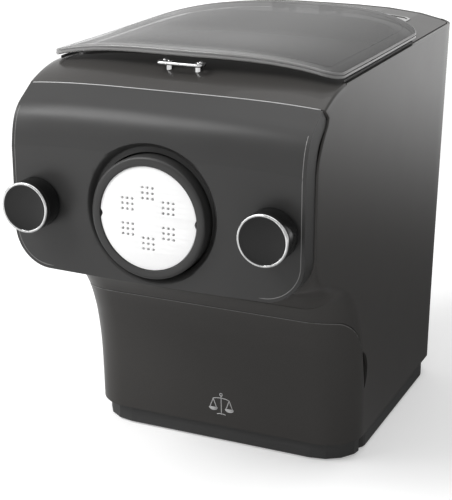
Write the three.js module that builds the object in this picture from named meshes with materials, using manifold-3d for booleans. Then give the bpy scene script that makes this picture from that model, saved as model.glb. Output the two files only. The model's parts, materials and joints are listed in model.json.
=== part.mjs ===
// Electric pasta maker: a kneading chamber under a clear lid, an auger that presses dough
// through a shaping disc in the front panel, and a drawer for spare discs below.
// Millimetres, +Z up, +X to the right seen from the front, +Y towards the back.
// While it is built, y = 0 is the front foot line of the base; at the end the whole is moved
// so that its origin is the bottom centre of its bounding box.

import * as THREE from 'three';
import { mergeVertices } from 'three/addons/utils/BufferGeometryUtils.js';
import Module from 'manifold-3d';

const wasm = await Module();
wasm.setup();

// Fits shared by all pieces
const seat = 0.3; // gap between a piece and its seat
const overrun = 3; // how far a cutter runs past what it cuts
const arcSteps = 2; // half the steps in a quarter round
const roundSides = 22; // sides of a large round piece
const smallSides = 10; // sides of a small round piece

// Body
const bodyWidth = 215;
const wall = 2.6;
const skinShare = 0.6; // how far a skin's inner face follows back where the neck flares
const plinthHeight = 15.1;
const neckHeight = 144.9; // from the plinth up to the chin
const neckReach = 79.6; // how far the chin stands out past the drawer
const coverLedge = 8; // reach of the ledge along the foot of the drawer's cover
const coverFront = -4.35; // y of the drawer's face at the foot
const frontCornerRadius = 29;
const backCornerRadius = 9;
const backFoot = 199;
const backLean = 17.5;
const backLeanPower = 1.4;
const deckFront = 290.8; // height of the side's top edge at the head's seam
const deckRise = 3.4; // further rise of that edge up to the back
const crownRise = 9.4; // how far the middle of the deck stands above its sides
const crownPower = 3.3;
const seamY = -34; // upright seam between head and side panel
const neckShares = [
  [0, 0], [0.22, 0.018], [0.37, 0.043], [0.517, 0.097], [0.593, 0.142], [0.676, 0.207],
  [0.752, 0.295], [0.828, 0.414], [0.89, 0.552], [0.938, 0.728], [0.972, 0.87], [1, 1],
];

// Head
const headDrop = 9.8; // fall of the head's top edge from its seam to the front panel
const headDropPower = 1.8;
const headTopReach = 39;
const headCrown = 3.5; // crown left at the front panel

// Front panel
const panelInset = 1.4; // how far the panel's ends stand in from the body's sides
const panelDepth = 16;
const panelSkin = 2.6;
const panelFront = -100.3;
const panelFoot = 160;
const panelTopFront = 280.8;
const panelBow = 3.4;
const panelCornerRadius = 27;
const panelBendHeight = 38; // height of the part that bends back at the top
const panelBendReach = 26.6; // how far that part bends back
const dishRadius = 49.5;
const dishDepth = 5;
const panelLip = 2.5; // chamfer along the foot of the panel
const panelTip = 0.6; // thickness of the panel's upper edge
const panelNotch = 9; // how far the rear edge of the bent top stands behind its front edge
const panelNotchDrop = 9.6; // how far it lies below it
const panelRearShare = 0.72; // bend of the rear face, as a share of the front's

// Extrusion
const axisHeight = 206.9;
const discRadius = 34.6;
const discThickness = 6;
const discFace = -107.3;
const discHoleRadius = 0.95;
const discHolePitch = 3.65;
const discGroupRadius = 17.1;
const discGroups = 6;
const discGroupSide = 3; // holes along one side of a square group
const discHoleSides = 6;
const discNotch = 1.2;
const ringRadius = 41.2;
const ringLipRadius = 35.3;
const ringFace = -108.4;
const ringLength = 16;
const ringGap = 1.1; // dark gap between the ring nut and the panel
const ringChamfer = 1.6;
const tubeBore = 24;
const tubeWall = 3;
const tubeFlange = 37;
const tubeFlangeThickness = 4;

// Knobs
const knobInset = 21.95; // from the body's side to a knob's axis
const knobHeight = 207.1;
const knobRadius = 17.4;
const knobFace = -120.55;
const knobLength = 17.9;
const knobSkirtWall = 2.4;
const knobDish = 1.2;
const knobFaceWall = 5; // from the face to the hollow behind it
const knobRingWidth = 1.4;
const knobRingDepth = 1.6;
const screwRadius = 4;
const screwLength = 48;
const bossRadius = 8;
const bossLength = 22;

// Kneading chamber
const chamberRadius = 50; // bottom of the chamber, about the auger's axis
const chamberInset = 15.5; // from the body's side to the chamber's mouth
const chamberTop = 287;
const chamberFlareHeight = 226;
const chamberFront = -28;
const chamberBack = 140;
const chamberWall = 2.4;
const chamberCornerRadius = 34;
const chamberFrontCorner = 8;
const chamberRim = 3; // height and reach of the rim at the top
const deckBackGap = 0.6; // further gap where the rear cover leans in

// Lid
const lidFront = -58.5; // middle of the front edge
const lidFrontBow = 5.5; // how far its ends lie behind that
const lidSideBack = 115; // where the straight side ends
const lidTail = 54; // length of the elliptical back
const lidInset = 0.9; // how far the lid's sides stand in from the body's sides
const lidDepth = 7; // from the deck to the lid's top
const lidSkin = 2.4;
const lidRim = 3; // width of the skirt
const lidFrontCorner = 12;
const lidLedge = 3; // height of the collar that the skirt goes round
const hingeBack = 171.5;
const hingeRise = 3.6; // height of the hinge pin over the deck's middle
const hingeSpacing = 40;
const knuckleRadius = 2.8;
const knuckleLength = 10;
const pinRadius = 1.2;
const pinFit = 0.25;
const cheekWidth = 4;
const lugLift = 1.2; // how far the lid's lug stays over the foot of its knuckle

// Latch
const bailWidth = 31.8;
const bailFront = -60;
const bailPivot = -52.5;
const bailRadius = 1.25;
const bailRise = 2.75; // height of the wire's axis over the head
const bailCorner = 2.6;
const bailSides = 6;
const bailSteps = 24;
const bailBoreDepth = 1.2; // how far a post's bore runs past the post's middle
const postSpacing = 21;
const postRadius = 2.6;
const postTop = 2.1; // how far a post stands over the wire's axis

// Control panel
const controlWidth = 164;
const controlBack = 187.5;
const controlSpace = 8; // between the lid's edge and the bezel
const controlCorner = 4;
const bezelWidth = 1.6;
const bezelDepth = 3;
const bezelRise = 0.5; // how far the bezel stands over the deck
const windowThickness = 2;
const buttonRadius = 3;
const buttonStep = 15;
const buttonCount = 4;
const buttonY = 182.2;
const buttonProud = 0.7;
const buttonTravel = 1;
const buttonFit = 0.3;
const domeRadius = 2.2;
const domeHeight = 2;
const boardPostRadius = 2.5;
const ledgeWidth = 0.8; // ledge under the window's edge
const ledgeThickness = 2.4;
const longKeySpacing = 114;
const longKeyY = 176;
const longKeyLength = 22;
const longKeyDepth = 6.6;
const boardThickness = 1.6;
const boardDepth = 12; // below the deck

// Drawer
const drawerShares = [
  [1, 0], [0.871, 0.279], [0.771, 0.445], [0.616, 0.652], [0.466, 0.743], [0.219, 0.843],
  [-0.118, 0.927], [-0.466, 0.981], [-0.86, 1],
];
const drawerSideBack = 27.9;
const drawerTop = 118.5;
const trayInset = 28.5; // how far the tray's sides stand in from the body's sides
const trayBack = 96;
const trayTop = 84;
const trayFloor = 20;
const trayWall = 2;
const trayDividers = 2;
const trayCorner = 6;
const bayWall = 2;
const bayGap = 3.4; // room beside the tray for the rails
const bayBack = 100;
const bayTop = 90;
const railHeight = 4;
const railWidth = 2.8;
const railLevel = 40;
const gripHeight = 67; // finger recess behind the drawer's side edge
const gripReach = 15;
const gripHalfHeight = 18;
const gripY = 14;
const cupDepth = 11; // how far the recess reaches in behind the side panel
const cupRim = 2;

// Base
const baseInset = 2.4; // how far the base stands in from the body's sides
const baseSideFront = 28.6;
const baseFront = 8;
const tongueInset = 21.5; // from the body's side to the side of the base's front part
const baseBack = 188.5;
const baseFloor = 2.6;
const baseWall = 3;
const baseCorner = 8;
const footHeight = 1;
const footRadius = 9;
const footInset = 20;
const footDepth = 5; // whole height of a rubber foot
const fasciaWall = 3.4;
const fasciaSlot = 3.3; // upright slot between the drawer's plinth and the base
const footSides = 16;
const cellLength = 34;
const cellWidth = 12;
const cellWaist = 7; // half the length of the slot in a load cell

// Drive
const gearModuleFine = 1.2;
const gearModuleCoarse = 1.8;
const gearSlack = 0.1;
const gearRun = 0.8; // side clearance of a gear
const gearRootShare = 1.25;
const toothShare = 0.82;
const toothRootShare = 1.35;
const toothTipShare = 0.45;
const webReachShare = 0.58;
const webHoleRadius = 8;
const motorTeeth = 12;
const layTeeth = 48;
const layPinionTeeth = 12;
const finalTeeth = 44;
const gearFine = 8;
const gearCoarse = 12;
const gearboxFront = 160;
const gearboxWall = 2.5;
const gearboxDepth = 32;
const gearboxMargin = 4;
const motorRadius = 31;
const motorLength = 46;
const motorShaftRadius = 2.5;
const fanRadius = 26;
const fanLength = 8;
const fanBlades = 9;
const fanHub = 7;
const fanBladeThickness = 1.6;
const fanPitchShare = 5;
const shaftRadius = 7;
const bushRadius = 11;
const bushFit = 0.05;
const layShaftRadius = 4;
const hexAcross = 12;
const hexDepth = 14;
const legWidth = 8;
const cradleWall = 3;

// Auger
const augerHub = 9;
const augerClear = 0.8;
const flightThickness = 3;
const flightPitch = 24;
const flightTurns = 3;
const flightSteps = 14; // steps in one turn
const paddleReach = 44;
const paddleWidth = 8;
const paddleThickness = 5;
const paddleCount = 4;

// Back
const ventSlots = 9;
const ventWidth = 90;
const ventSlot = 3;
const ventPitch = 7;
const ventFoot = 95;
const inletWidth = 27;
const inletHeight = 20;
const inletLevel = 42;
const inletX = -60;
const inletDepth = 16;
const inletRecess = 12;
const inletWall = 1.6;
const pinSpacing = 7;
const pinOffset = 1.5;
const pinWidth = 2;
const pinTall = 3;
const switchWidth = 14;
const switchHeight = 21;
const switchX = 55;
const rockerAngle = 8;
const rockerDepth = 4.6; // from the rocker's pivot to the inner face of the cover
const rockerInset = 1.2;

const halfBody = bodyWidth / 2;
const panelHalf = halfBody - panelInset;
const knobSpacing = 2 * (halfBody - knobInset);
const chamberTopHalf = halfBody - chamberInset;
const lidHalf = halfBody - lidInset;
const trayHalf = halfBody - trayInset;
const baseHalf = halfBody - baseInset;
const baseFrontHalf = halfBody - tongueInset;
const neckTop = plinthHeight + neckHeight;
const deckBack = backFoot + backLean;
const deckSlope = deckRise / (deckBack - seamY);

// Curves of the body

// y of the drawer's and neck's face at height z.
function frontAt(z) {
  const share = THREE.MathUtils.clamp((z - plinthHeight) / neckHeight, 0, 1);
  let i = 1;
  while (neckShares[i][0] < share) i += 1;
  const [low, high] = [neckShares[i - 1], neckShares[i]];
  const part = (share - low[0]) / (high[0] - low[0]);
  return coverFront - neckReach * THREE.MathUtils.lerp(low[1], high[1], part);
}

// y of the leaning back at height z.
function backAt(z) {
  const share = Math.max(0, (z - plinthHeight) / (deckFront - plinthHeight));
  return backFoot + backLean * share ** backLeanPower;
}

// Rise of a crowned surface over its sides, for a given half-width.
function crownAt(x, half, rise) {
  return rise * (1 - Math.min(1, Math.abs(x) / half) ** crownPower);
}

// Height of the deck's side edge at y.
function deckEdge(y) {
  return deckFront + deckSlope * (y - seamY);
}

// Height of the deck's surface at (x, y).
function deckAt(x, y) {
  return deckEdge(y) + crownAt(x, halfBody, crownRise);
}

// Height of the head's side edge at y, in front of the seam.
function headEdge(y) {
  const share = Math.max(0, (seamY - y) / headTopReach);
  return deckFront - headDrop * share ** headDropPower;
}

// Rise of the head's middle at y.
function headCrownAt(y) {
  return THREE.MathUtils.lerp(crownRise, headCrown, Math.min(1, (seamY - y) / headTopReach));
}

// Corner radius of a many-sided bore in which a shaft of the given radius turns freely.
function bored(radius, sides) {
  return radius / Math.cos(Math.PI / sides);
}

// Solids from outlines

// A closed geometry as a solid, with its faces turned outward.
function toSolid(geometry) {
  const bare = geometry.clone();
  bare.deleteAttribute('normal');
  bare.deleteAttribute('uv');
  const merged = mergeVertices(bare);
  const points = merged.attributes.position.array;
  const faces = Uint32Array.from(merged.index.array);
  const [a, b, c] = [new THREE.Vector3(), new THREE.Vector3(), new THREE.Vector3()];
  let volume = 0;
  for (let i = 0; i < faces.length; i += 3) {
    a.fromArray(points, 3 * faces[i]);
    b.fromArray(points, 3 * faces[i + 1]);
    c.fromArray(points, 3 * faces[i + 2]);
    volume += a.dot(b.cross(c));
  }
  if (volume < 0) {
    for (let i = 0; i < faces.length; i += 3) {
      [faces[i], faces[i + 1]] = [faces[i + 1], faces[i]];
    }
  }
  const mesh = new wasm.Mesh({ numProp: 3, vertProperties: points, triVerts: faces });
  return new wasm.Manifold(mesh);
}

// A shape pushed along one axis of the body, from one coordinate to another.
// Along x its outline is (y, z), along y it is (x, z) and along z it is (x, y).
function extrude(shape, from, to) {
  const depth = to - from;
  return new THREE.ExtrudeGeometry(shape, { depth, bevelEnabled: false, curveSegments: arcSteps });
}

const axisX = new THREE.Vector3(1, 0, 0);
const axisY = new THREE.Vector3(0, 1, 0);
const axisZ = new THREE.Vector3(0, 0, 1);

function alongX(shape, from, to) {
  const turn = new THREE.Matrix4().makeBasis(axisY, axisZ, axisX);
  return toSolid(extrude(shape, from, to).applyMatrix4(turn).translate(from, 0, 0));
}

function alongY(shape, from, to) {
  const turn = new THREE.Matrix4().makeBasis(axisX, axisZ, axisY.clone().negate());
  return toSolid(extrude(shape, from, to).applyMatrix4(turn).translate(0, to, 0));
}

function alongZ(shape, from, to) {
  return toSolid(extrude(shape, from, to).translate(0, 0, from));
}

function outline(points) {
  return new THREE.Shape(points.map(([u, v]) => new THREE.Vector2(u, v)));
}

function rect(u0, u1, v0, v1) {
  return outline([[u0, v0], [u1, v0], [u1, v1], [u0, v1]]);
}

// A rectangle with round corners: first the two at low v, then the two at high v.
function softRect(u0, u1, v0, v1, lowRadius, highRadius) {
  const shape = new THREE.Shape();
  const quarter = Math.PI / 2;
  shape.absarc(u0 + lowRadius, v0 + lowRadius, lowRadius, 2 * quarter, 3 * quarter);
  shape.absarc(u1 - lowRadius, v0 + lowRadius, lowRadius, 3 * quarter, 4 * quarter);
  shape.absarc(u1 - highRadius, v1 - highRadius, highRadius, 0, quarter);
  shape.absarc(u0 + highRadius, v1 - highRadius, highRadius, quarter, 2 * quarter);
  return shape;
}

function box(x0, x1, y0, y1, z0, z1) {
  return alongZ(rect(x0, x1, y0, y1), z0, z1);
}

// A turned piece about an axis along y through (x, z); the profile is (radius, y).
function turned(profile, x, z, sides = roundSides) {
  const points = profile.map(([radius, y]) => new THREE.Vector2(radius, y));
  return toSolid(new THREE.LatheGeometry(points, sides).translate(x, 0, z));
}

// A round bar along y.
function barY(radius, y0, y1, x, z, sides = roundSides) {
  return turned([[0, y0], [radius, y0], [radius, y1], [0, y1]], x, z, sides);
}

// A round bar along z at (x, y).
function barZ(radius, z0, z1, x, y, sides = smallSides) {
  const shape = new THREE.Shape(circle(radius, sides, x, y));
  return alongZ(shape, z0, z1);
}

// A round bar along x at (y, z).
function barX(radius, x0, x1, y, z, sides = smallSides) {
  const shape = new THREE.Shape(circle(radius, sides, y, z));
  return alongX(shape, x0, x1);
}

function circle(radius, sides, u = 0, v = 0) {
  const points = [];
  for (let i = 0; i < sides; i += 1) {
    const angle = (2 * Math.PI * i) / sides;
    points.push(new THREE.Vector2(u + radius * Math.cos(angle), v + radius * Math.sin(angle)));
  }
  return points;
}

// A solid through a row of rings with equally many points; its ends are flat and the
// outline of an end is read on the two axes named in plane.
function loft(rings, plane) {
  const count = rings[0].length;
  const positions = rings.flat().flatMap((p) => [p.x, p.y, p.z]);
  const faces = [];
  for (let i = 0; i < rings.length - 1; i += 1) {
    for (let j = 0; j < count; j += 1) {
      const k = (j + 1) % count;
      const [a, b] = [i * count + j, i * count + k];
      faces.push(a, b, b + count, a, b + count, a + count);
    }
  }
  const [u, v] = plane;
  const flat = rings[0].map((p) => new THREE.Vector2(p[u], p[v]));
  const clockwise = THREE.ShapeUtils.isClockWise(flat);
  const last = (rings.length - 1) * count;
  capFaces(rings[0], plane).forEach(([a, b, c]) => faces.push(...(clockwise ? [a, b, c] : [c, b, a])));
  capFaces(rings.at(-1), plane).forEach(([a, b, c]) => {
    const end = clockwise ? [c, b, a] : [a, b, c];
    faces.push(...end.map((index) => last + index));
  });
  const geometry = new THREE.BufferGeometry();
  geometry.setAttribute('position', new THREE.Float32BufferAttribute(positions, 3));
  geometry.setIndex(faces);
  return toSolid(geometry);
}

// Triangles that close a ring, in counter-clockwise order on the two named axes.
function capFaces(ring, [u, v]) {
  const flat = ring.map((p) => new THREE.Vector2(p[u], p[v]));
  return THREE.ShapeUtils.triangulateShape(flat, []).map(([a, b, c]) => {
    const area = THREE.ShapeUtils.area([flat[a], flat[b], flat[c]]);
    return area > 0 ? [a, b, c] : [c, b, a];
  });
}

function point(x, y, z) {
  return new THREE.Vector3(x, y, z);
}

// Model

const model = new THREE.Group();

const finishes = {
  gloss: { color: 0x4b4845, roughness: 0.18, metalness: 0.35 },
  satin: { color: 0x3a3a3b, roughness: 0.5, metalness: 0.1 },
  black: { color: 0x141414, roughness: 0.4, metalness: 0 },
  rubber: { color: 0x1c1c1c, roughness: 0.9, metalness: 0 },
  white: { color: 0xf2f2ef, roughness: 0.45, metalness: 0 },
  chrome: { color: 0xd8d8d8, roughness: 0.12, metalness: 1 },
  steel: { color: 0x9a9c9e, roughness: 0.35, metalness: 0.9 },
  brass: { color: 0xb58d4a, roughness: 0.3, metalness: 0.9 },
  grey: { color: 0x8a8a88, roughness: 0.5, metalness: 0 },
  lid: { color: 0x6a6c6b, roughness: 0.05, metalness: 0, transparent: true, opacity: 0.35 },
  board: { color: 0x1f5a38, roughness: 0.6, metalness: 0 },
};

// Puts a solid into the model as a named piece.
function add(name, solid, finish) {
  const { vertProperties, triVerts } = solid.getMesh();
  const geometry = new THREE.BufferGeometry();
  geometry.setAttribute('position', new THREE.BufferAttribute(Float32Array.from(vertProperties), 3));
  geometry.setIndex(new THREE.BufferAttribute(Uint32Array.from(triVerts), 1));
  geometry.computeVertexNormals();
  const mesh = new THREE.Mesh(geometry, new THREE.MeshStandardMaterial(finishes[finish]));
  mesh.name = name;
  model.add(mesh);
}

const sides = [['left', -1], ['right', 1]];

// The whole body's plan at height z, drawn in by inset.
function bodyRing(z, inset, front, frontRadius) {
  const half = halfBody - inset;
  const back = backAt(z) - inset;
  const shape = softRect(-half, half, front, back, frontRadius, backCornerRadius - inset);
  return shape.getPoints(arcSteps).map((p) => point(p.x, p.y, z));
}

// y of the inner face of a skin of the given depth behind the neck's outer face.
function innerFront(z, inset) {
  return frontAt(z - inset) + inset * skinShare;
}

const upperFront = seamY - 2 * overrun;
const upperFoot = neckTop - wall - seat;

// Everything up to the chin, with the flare of the neck at its front.
function lowerVolume(inset, foot, top) {
  const heights = neckShares.map(([share]) => plinthHeight + neckHeight * share);
  const inner = heights.filter((z) => z > foot && z < top);
  const rings = [foot, ...inner, top].map((z) => (
    bodyRing(z, inset, inset ? innerFront(z, inset) : frontAt(z), frontCornerRadius - inset)
  ));
  return loft(rings, ['x', 'y']);
}

// The box of the body behind the head.
function upperVolume(inset, top) {
  const steps = 5;
  const rings = [];
  for (let i = 0; i <= steps; i += 1) {
    const z = THREE.MathUtils.lerp(upperFoot, top, i / steps);
    rings.push(bodyRing(z, inset, upperFront, backCornerRadius - inset));
  }
  return loft(rings, ['x', 'y']);
}

// A block under the crowned deck surface, lowered by drop.
function underCrown(drop, half = halfBody, rise = crownRise) {
  const steps = 8;
  const points = [];
  for (let i = 0; i <= steps; i += 1) {
    const x = half * (1 - (2 * i) / steps);
    points.push([x, deckEdge(0) - drop + crownAt(x, half, rise)]);
  }
  points.push([-half - overrun, points.at(-1)[1]], [-half - overrun, 0], [half + overrun, 0]);
  points.push([half + overrun, points[0][1]]);
  const turn = new THREE.Matrix4().makeBasis(axisX, axisZ, axisY.clone().negate());
  const back = deckBack + 2 * backCornerRadius;
  const front = lidFront - 2 * overrun;
  const geometry = extrude(outline(points), front, back).applyMatrix4(turn).translate(0, back, 0);
  const slope = new THREE.Matrix4().set(1, 0, 0, 0, 0, 1, 0, 0, 0, deckSlope, 1, 0, 0, 0, 0, 1);
  return toSolid(geometry.applyMatrix4(slope));
}

const bodyFoot = plinthHeight;
const highTop = deckFront + 2 * crownRise + deckRise;
const behindSeam = box(-bodyWidth, bodyWidth, seamY, 2 * deckBack, -overrun, highTop + overrun);
const bodyOuter = lowerVolume(0, bodyFoot, neckTop).add(upperVolume(0, highTop));
const bodyInner = lowerVolume(wall, bodyFoot - overrun, neckTop).add(upperVolume(wall, highTop + overrun));
const bodySkin = bodyOuter.subtract(bodyInner).intersect(underCrown(0));

// Where the drawer's cover is parted from the body, seen from the side.
function drawerRegion(grow) {
  const height = drawerTop - plinthHeight;
  const edge = drawerShares.map(([u, v]) => [
    u * drawerSideBack + grow, plinthHeight + v * height + grow,
  ]);
  const far = coverFront - neckReach;
  const foot = bodyFoot - overrun;
  return outline([[edge[0][0], foot], ...edge, [far, edge.at(-1)[1]], [far, foot]]);
}

// The line where the flat side turns into the front corner, as a region in front of it.
function cornerRegion(shift) {
  const heights = neckShares.map(([share]) => plinthHeight + neckHeight * share);
  const line = heights.map((z) => [frontAt(z) + frontCornerRadius + shift, z]);
  const far = coverFront - 2 * neckReach;
  return outline([[line[0][0], bodyFoot - overrun], ...line, [far, neckTop], [far, bodyFoot - overrun]]);
}

const acrossFrom = -halfBody - overrun;
const acrossTo = halfBody + overrun;
const drawerCut = alongX(drawerRegion(seat), acrossFrom, acrossTo);
const backPlateHalf = halfBody - backCornerRadius;
const rearPart = box(-backPlateHalf, backPlateHalf, backFoot - 2 * backCornerRadius, 2 * deckBack,
  bodyFoot - overrun, highTop + overrun);
const rearCut = box(-backPlateHalf - seat, backPlateHalf + seat, backFoot - 2 * backCornerRadius,
  2 * deckBack, bodyFoot - overrun, highTop + overrun);

// Side panels, with a finger recess behind the drawer's edge.
function sidePanel(side) {
  const half = side > 0
    ? box(0, bodyWidth, -bodyWidth, 2 * deckBack, -overrun, highTop + overrun)
    : box(-bodyWidth, 0, -bodyWidth, 2 * deckBack, -overrun, highTop + overrun);
  const panel = bodySkin.intersect(half).intersect(behindSeam)
    .subtract(drawerCut)
    .subtract(alongX(cornerRegion(seat), acrossFrom, acrossTo))
    .subtract(rearCut);
  const low = gripHeight - gripHalfHeight;
  const high = gripHeight + gripHalfHeight;
  const back = gripY + gripReach;
  const [nearX, farX] = [halfBody - wall - cupDepth, halfBody - wall + seat];
  const front = drawerSideBack - 2 * cupRim;
  const rim = mirroredBox(side, nearX, farX, front, back + cupRim, low - cupRim, high + cupRim);
  const forward = mirroredBox(side, nearX, farX, gripY, front + seat, low - cupRim, high + cupRim)
    .intersect(lowerVolume(wall + seat, bodyFoot, neckTop));
  const hollowFrom = nearX + cupRim;
  const hollow = alongX(gripShape(), side > 0 ? hollowFrom : -acrossTo, side > 0 ? acrossTo : -hollowFrom);
  return panel.add(rim.add(forward)).subtract(hollow);
}

// A box between two distances from the middle plane, on the given side.
function mirroredBox(side, near, far, y0, y1, z0, z1) {
  return side > 0 ? box(near, far, y0, y1, z0, z1) : box(-far, -near, y0, y1, z0, z1);
}

function gripShape() {
  const points = Array.from({ length: roundSides }, (_, i) => {
    const angle = (2 * Math.PI * i) / roundSides;
    return [gripY + gripReach * Math.cos(angle), gripHeight + gripHalfHeight * Math.sin(angle)];
  });
  return outline(points);
}

sides.forEach(([name, side]) => add(`side_panel_${name}`, sidePanel(side), 'gloss'));

// Band between the drawer and the head, with the start of the flare.
const neckBand = bodySkin.intersect(alongX(cornerRegion(0), acrossFrom, acrossTo))
  .intersect(behindSeam)
  .subtract(drawerCut);
add('neck_cover', neckBand, 'gloss');

// Drawer: cover, tray and plinth strip.
const ledgeCut = lowerVolume(coverLedge, bodyFoot - overrun, neckTop)
  .add(box(acrossFrom, acrossTo, -bodyWidth, deckBack, bodyFoot + wall, highTop));
const drawerCover = bodyOuter.subtract(bodyInner.intersect(ledgeCut))
  .intersect(alongX(drawerRegion(0), acrossFrom, acrossTo));
add('drawer_cover', drawerCover, 'gloss');

const trayFront = coverFront + wall + seat;

function drawerTray() {
  let tray = box(-trayHalf, trayHalf, trayFront, trayBack, trayFloor, trayTop);
  const bayLength = (trayBack - trayFront - trayWall) / (trayDividers + 1);
  for (let i = 0; i <= trayDividers; i += 1) {
    const from = trayFront + trayWall + i * bayLength;
    const room = softRect(-trayHalf + trayWall, trayHalf - trayWall, from, from + bayLength - trayWall,
      trayCorner, trayCorner);
    tray = tray.subtract(alongZ(room, trayFloor + trayWall, trayTop + overrun));
  }
  return sides.reduce((whole, [, side]) => {
    const rail = mirroredBox(side, trayHalf - seat, trayHalf + railWidth, trayBack / 2, trayBack,
      railLevel, railLevel + railHeight);
    return whole.add(rail);
  }, tray);
}

add('drawer_tray', drawerTray(), 'satin');

// Strip of plinth that comes out with the drawer.
const plinthTop = plinthHeight - seat;
const fasciaRadius = frontCornerRadius + overrun / 2;

function drawerPlinth() {
  const foot = footHeight + seat;
  const outer = softRect(-baseHalf, baseHalf, 0, baseBack, fasciaRadius, baseCorner);
  const inner = softRect(-baseHalf + fasciaWall, baseHalf - fasciaWall, fasciaWall, baseBack,
    fasciaRadius - fasciaWall, baseCorner);
  return alongZ(outer, foot, plinthTop)
    .subtract(alongZ(inner, foot - overrun, plinthTop + overrun))
    .subtract(box(acrossFrom, acrossTo, baseSideFront - fasciaSlot, 2 * baseBack, -overrun, highTop));
}

add('drawer_plinth', drawerPlinth(), 'black');

// Bay that the drawer slides in, with a rail under each of the tray's lugs.
const bayHalf = trayHalf + bayGap;
const bayFoot = plinthHeight;
const bayFront = baseFront;

const bay = box(-bayHalf - bayWall, bayHalf + bayWall, bayFront, bayBack + bayWall, bayFoot, bayTop)
  .subtract(box(-bayHalf, bayHalf, bayFront - overrun, bayBack, bayFoot + bayWall, bayTop - bayWall));
add('drawer_bay', sides.reduce((whole, [, side]) => (
  whole.add(mirroredBox(side, trayHalf + seat, bayHalf + seat, bayFront, bayBack + seat,
    railLevel - seat - railHeight, railLevel - seat))
), bay), 'black');

// Base with its plinth, four rubber feet and the load cell over each foot.
const baseTopSkin = plinthTop - baseFloor;

function basePlate() {
  const plan = (inset) => alongZ(softRect(-baseHalf + inset, baseHalf - inset, baseSideFront + inset,
    baseBack - inset, baseCorner - inset, baseCorner - inset), inset ? -overrun : footHeight,
    inset ? baseTopSkin : plinthTop);
  const tongue = (inset) => box(-baseFrontHalf + inset, baseFrontHalf - inset, baseFront + inset,
    baseSideFront + baseWall + seat + inset, inset ? -overrun : footHeight, inset ? baseTopSkin : plinthTop);
  return plan(0).add(tongue(0)).subtract(plan(baseWall)).subtract(tongue(baseWall));
}

add('base_plate', basePlate(), 'black');

const footPlaces = [];
[['front', baseSideFront + footInset], ['rear', baseBack - footInset]].forEach(([end, y]) => {
  sides.forEach(([name, side]) => footPlaces.push([`${end}_${name}`, side * (baseHalf - footInset), y]));
});

footPlaces.forEach(([name, x, y]) => {
  const profile = [[0, 0], [footRadius - footHeight, 0], [footRadius, footHeight], [footRadius, footDepth],
    [0, footDepth]];
  const points = profile.map(([r, z]) => new THREE.Vector2(r, z));
  const turn = new THREE.LatheGeometry(points, footSides).rotateX(Math.PI / 2).translate(x, y, 0);
  add(`foot_${name}`, toSolid(turn), 'rubber');
});

footPlaces.forEach(([name, x, y]) => {
  const inward = Math.sign(x) * (cellLength / 2 - cellWidth / 2);
  const middle = x - inward;
  const cell = box(middle - cellLength / 2, middle + cellLength / 2, y - cellWidth / 2, y + cellWidth / 2,
    footDepth + seat, baseTopSkin - seat);
  const waist = box(middle - cellWaist, middle + cellWaist, y - cellWidth / 4, y + cellWidth / 4,
    footDepth - overrun, baseTopSkin + overrun);
  add(`load_cell_${name}`, cell.subtract(waist), 'steel');
});

// Head: the housing in front of the seam, with its bulkhead behind the front panel.
const panelRear = panelFront + panelDepth;
const bulkheadFront = panelRear + seat;
const headStations = 5;

function headUpper(inset, front, back, foot) {
  const half = halfBody - inset;
  const across = 6;
  const rings = [];
  for (let i = 0; i <= headStations; i += 1) {
    const y = THREE.MathUtils.lerp(front, back, i / headStations);
    const ring = [point(-half, y, foot), point(half, y, foot)];
    for (let j = 0; j <= across; j += 1) {
      const x = half * (1 - (2 * j) / across);
      ring.push(point(x, y, headEdge(y) - inset + crownAt(x, half, headCrownAt(y))));
    }
    rings.push(ring);
  }
  return loft(rings, ['x', 'z']);
}

const frontOfSeam = box(-bodyWidth, bodyWidth, -2 * bodyWidth, seamY - seat, -overrun, 2 * highTop);
const chinFoot = drawerTop;

function headHousing() {
  const outer = headUpper(0, bulkheadFront, seamY - seat, neckTop)
    .add(lowerVolume(0, chinFoot, neckTop).intersect(frontOfSeam));
  const inner = headUpper(wall, bulkheadFront + wall, seamY + overrun, neckTop + wall)
    .add(lowerVolume(wall, chinFoot - overrun, neckTop + wall + seat)
      .intersect(box(-bodyWidth, bodyWidth, bulkheadFront + wall, seamY + overrun, 0, highTop)));
  const tip = panelFront + panelBendReach + panelTip;
  const aheadOfTip = box(acrossFrom, acrossTo, 2 * panelFront, tip, panelTopFront - panelDepth, 2 * highTop);
  let head = outer.subtract(inner.subtract(panelVolume(-seat - wall))).subtract(aheadOfTip);
  sides.forEach(([, side]) => {
    const x = (side * knobSpacing) / 2;
    const boss = barY(bossRadius, bulkheadFront + seat, bulkheadFront + bossLength, x, knobHeight, smallSides);
    const bore = barY(screwRadius + seat, bulkheadFront - overrun, bulkheadFront + bossLength + overrun, x,
      knobHeight, smallSides);
    head = head.add(boss.intersect(outer)).subtract(bore);
  });
  return head
    .subtract(barY(tubeBore + tubeWall + seat, panelFront, seamY, 0, axisHeight))
    .subtract(panelVolume(-seat).intersect(frontOfSeam));
}

// Front panel: a curved slab that bends back at its top, bowed forward in the middle.
const bendShares = [
  [0, 0], [0.3, 0.07], [0.55, 0.2], [0.72, 0.4], [0.85, 0.67], [1, 1],
];

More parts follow.
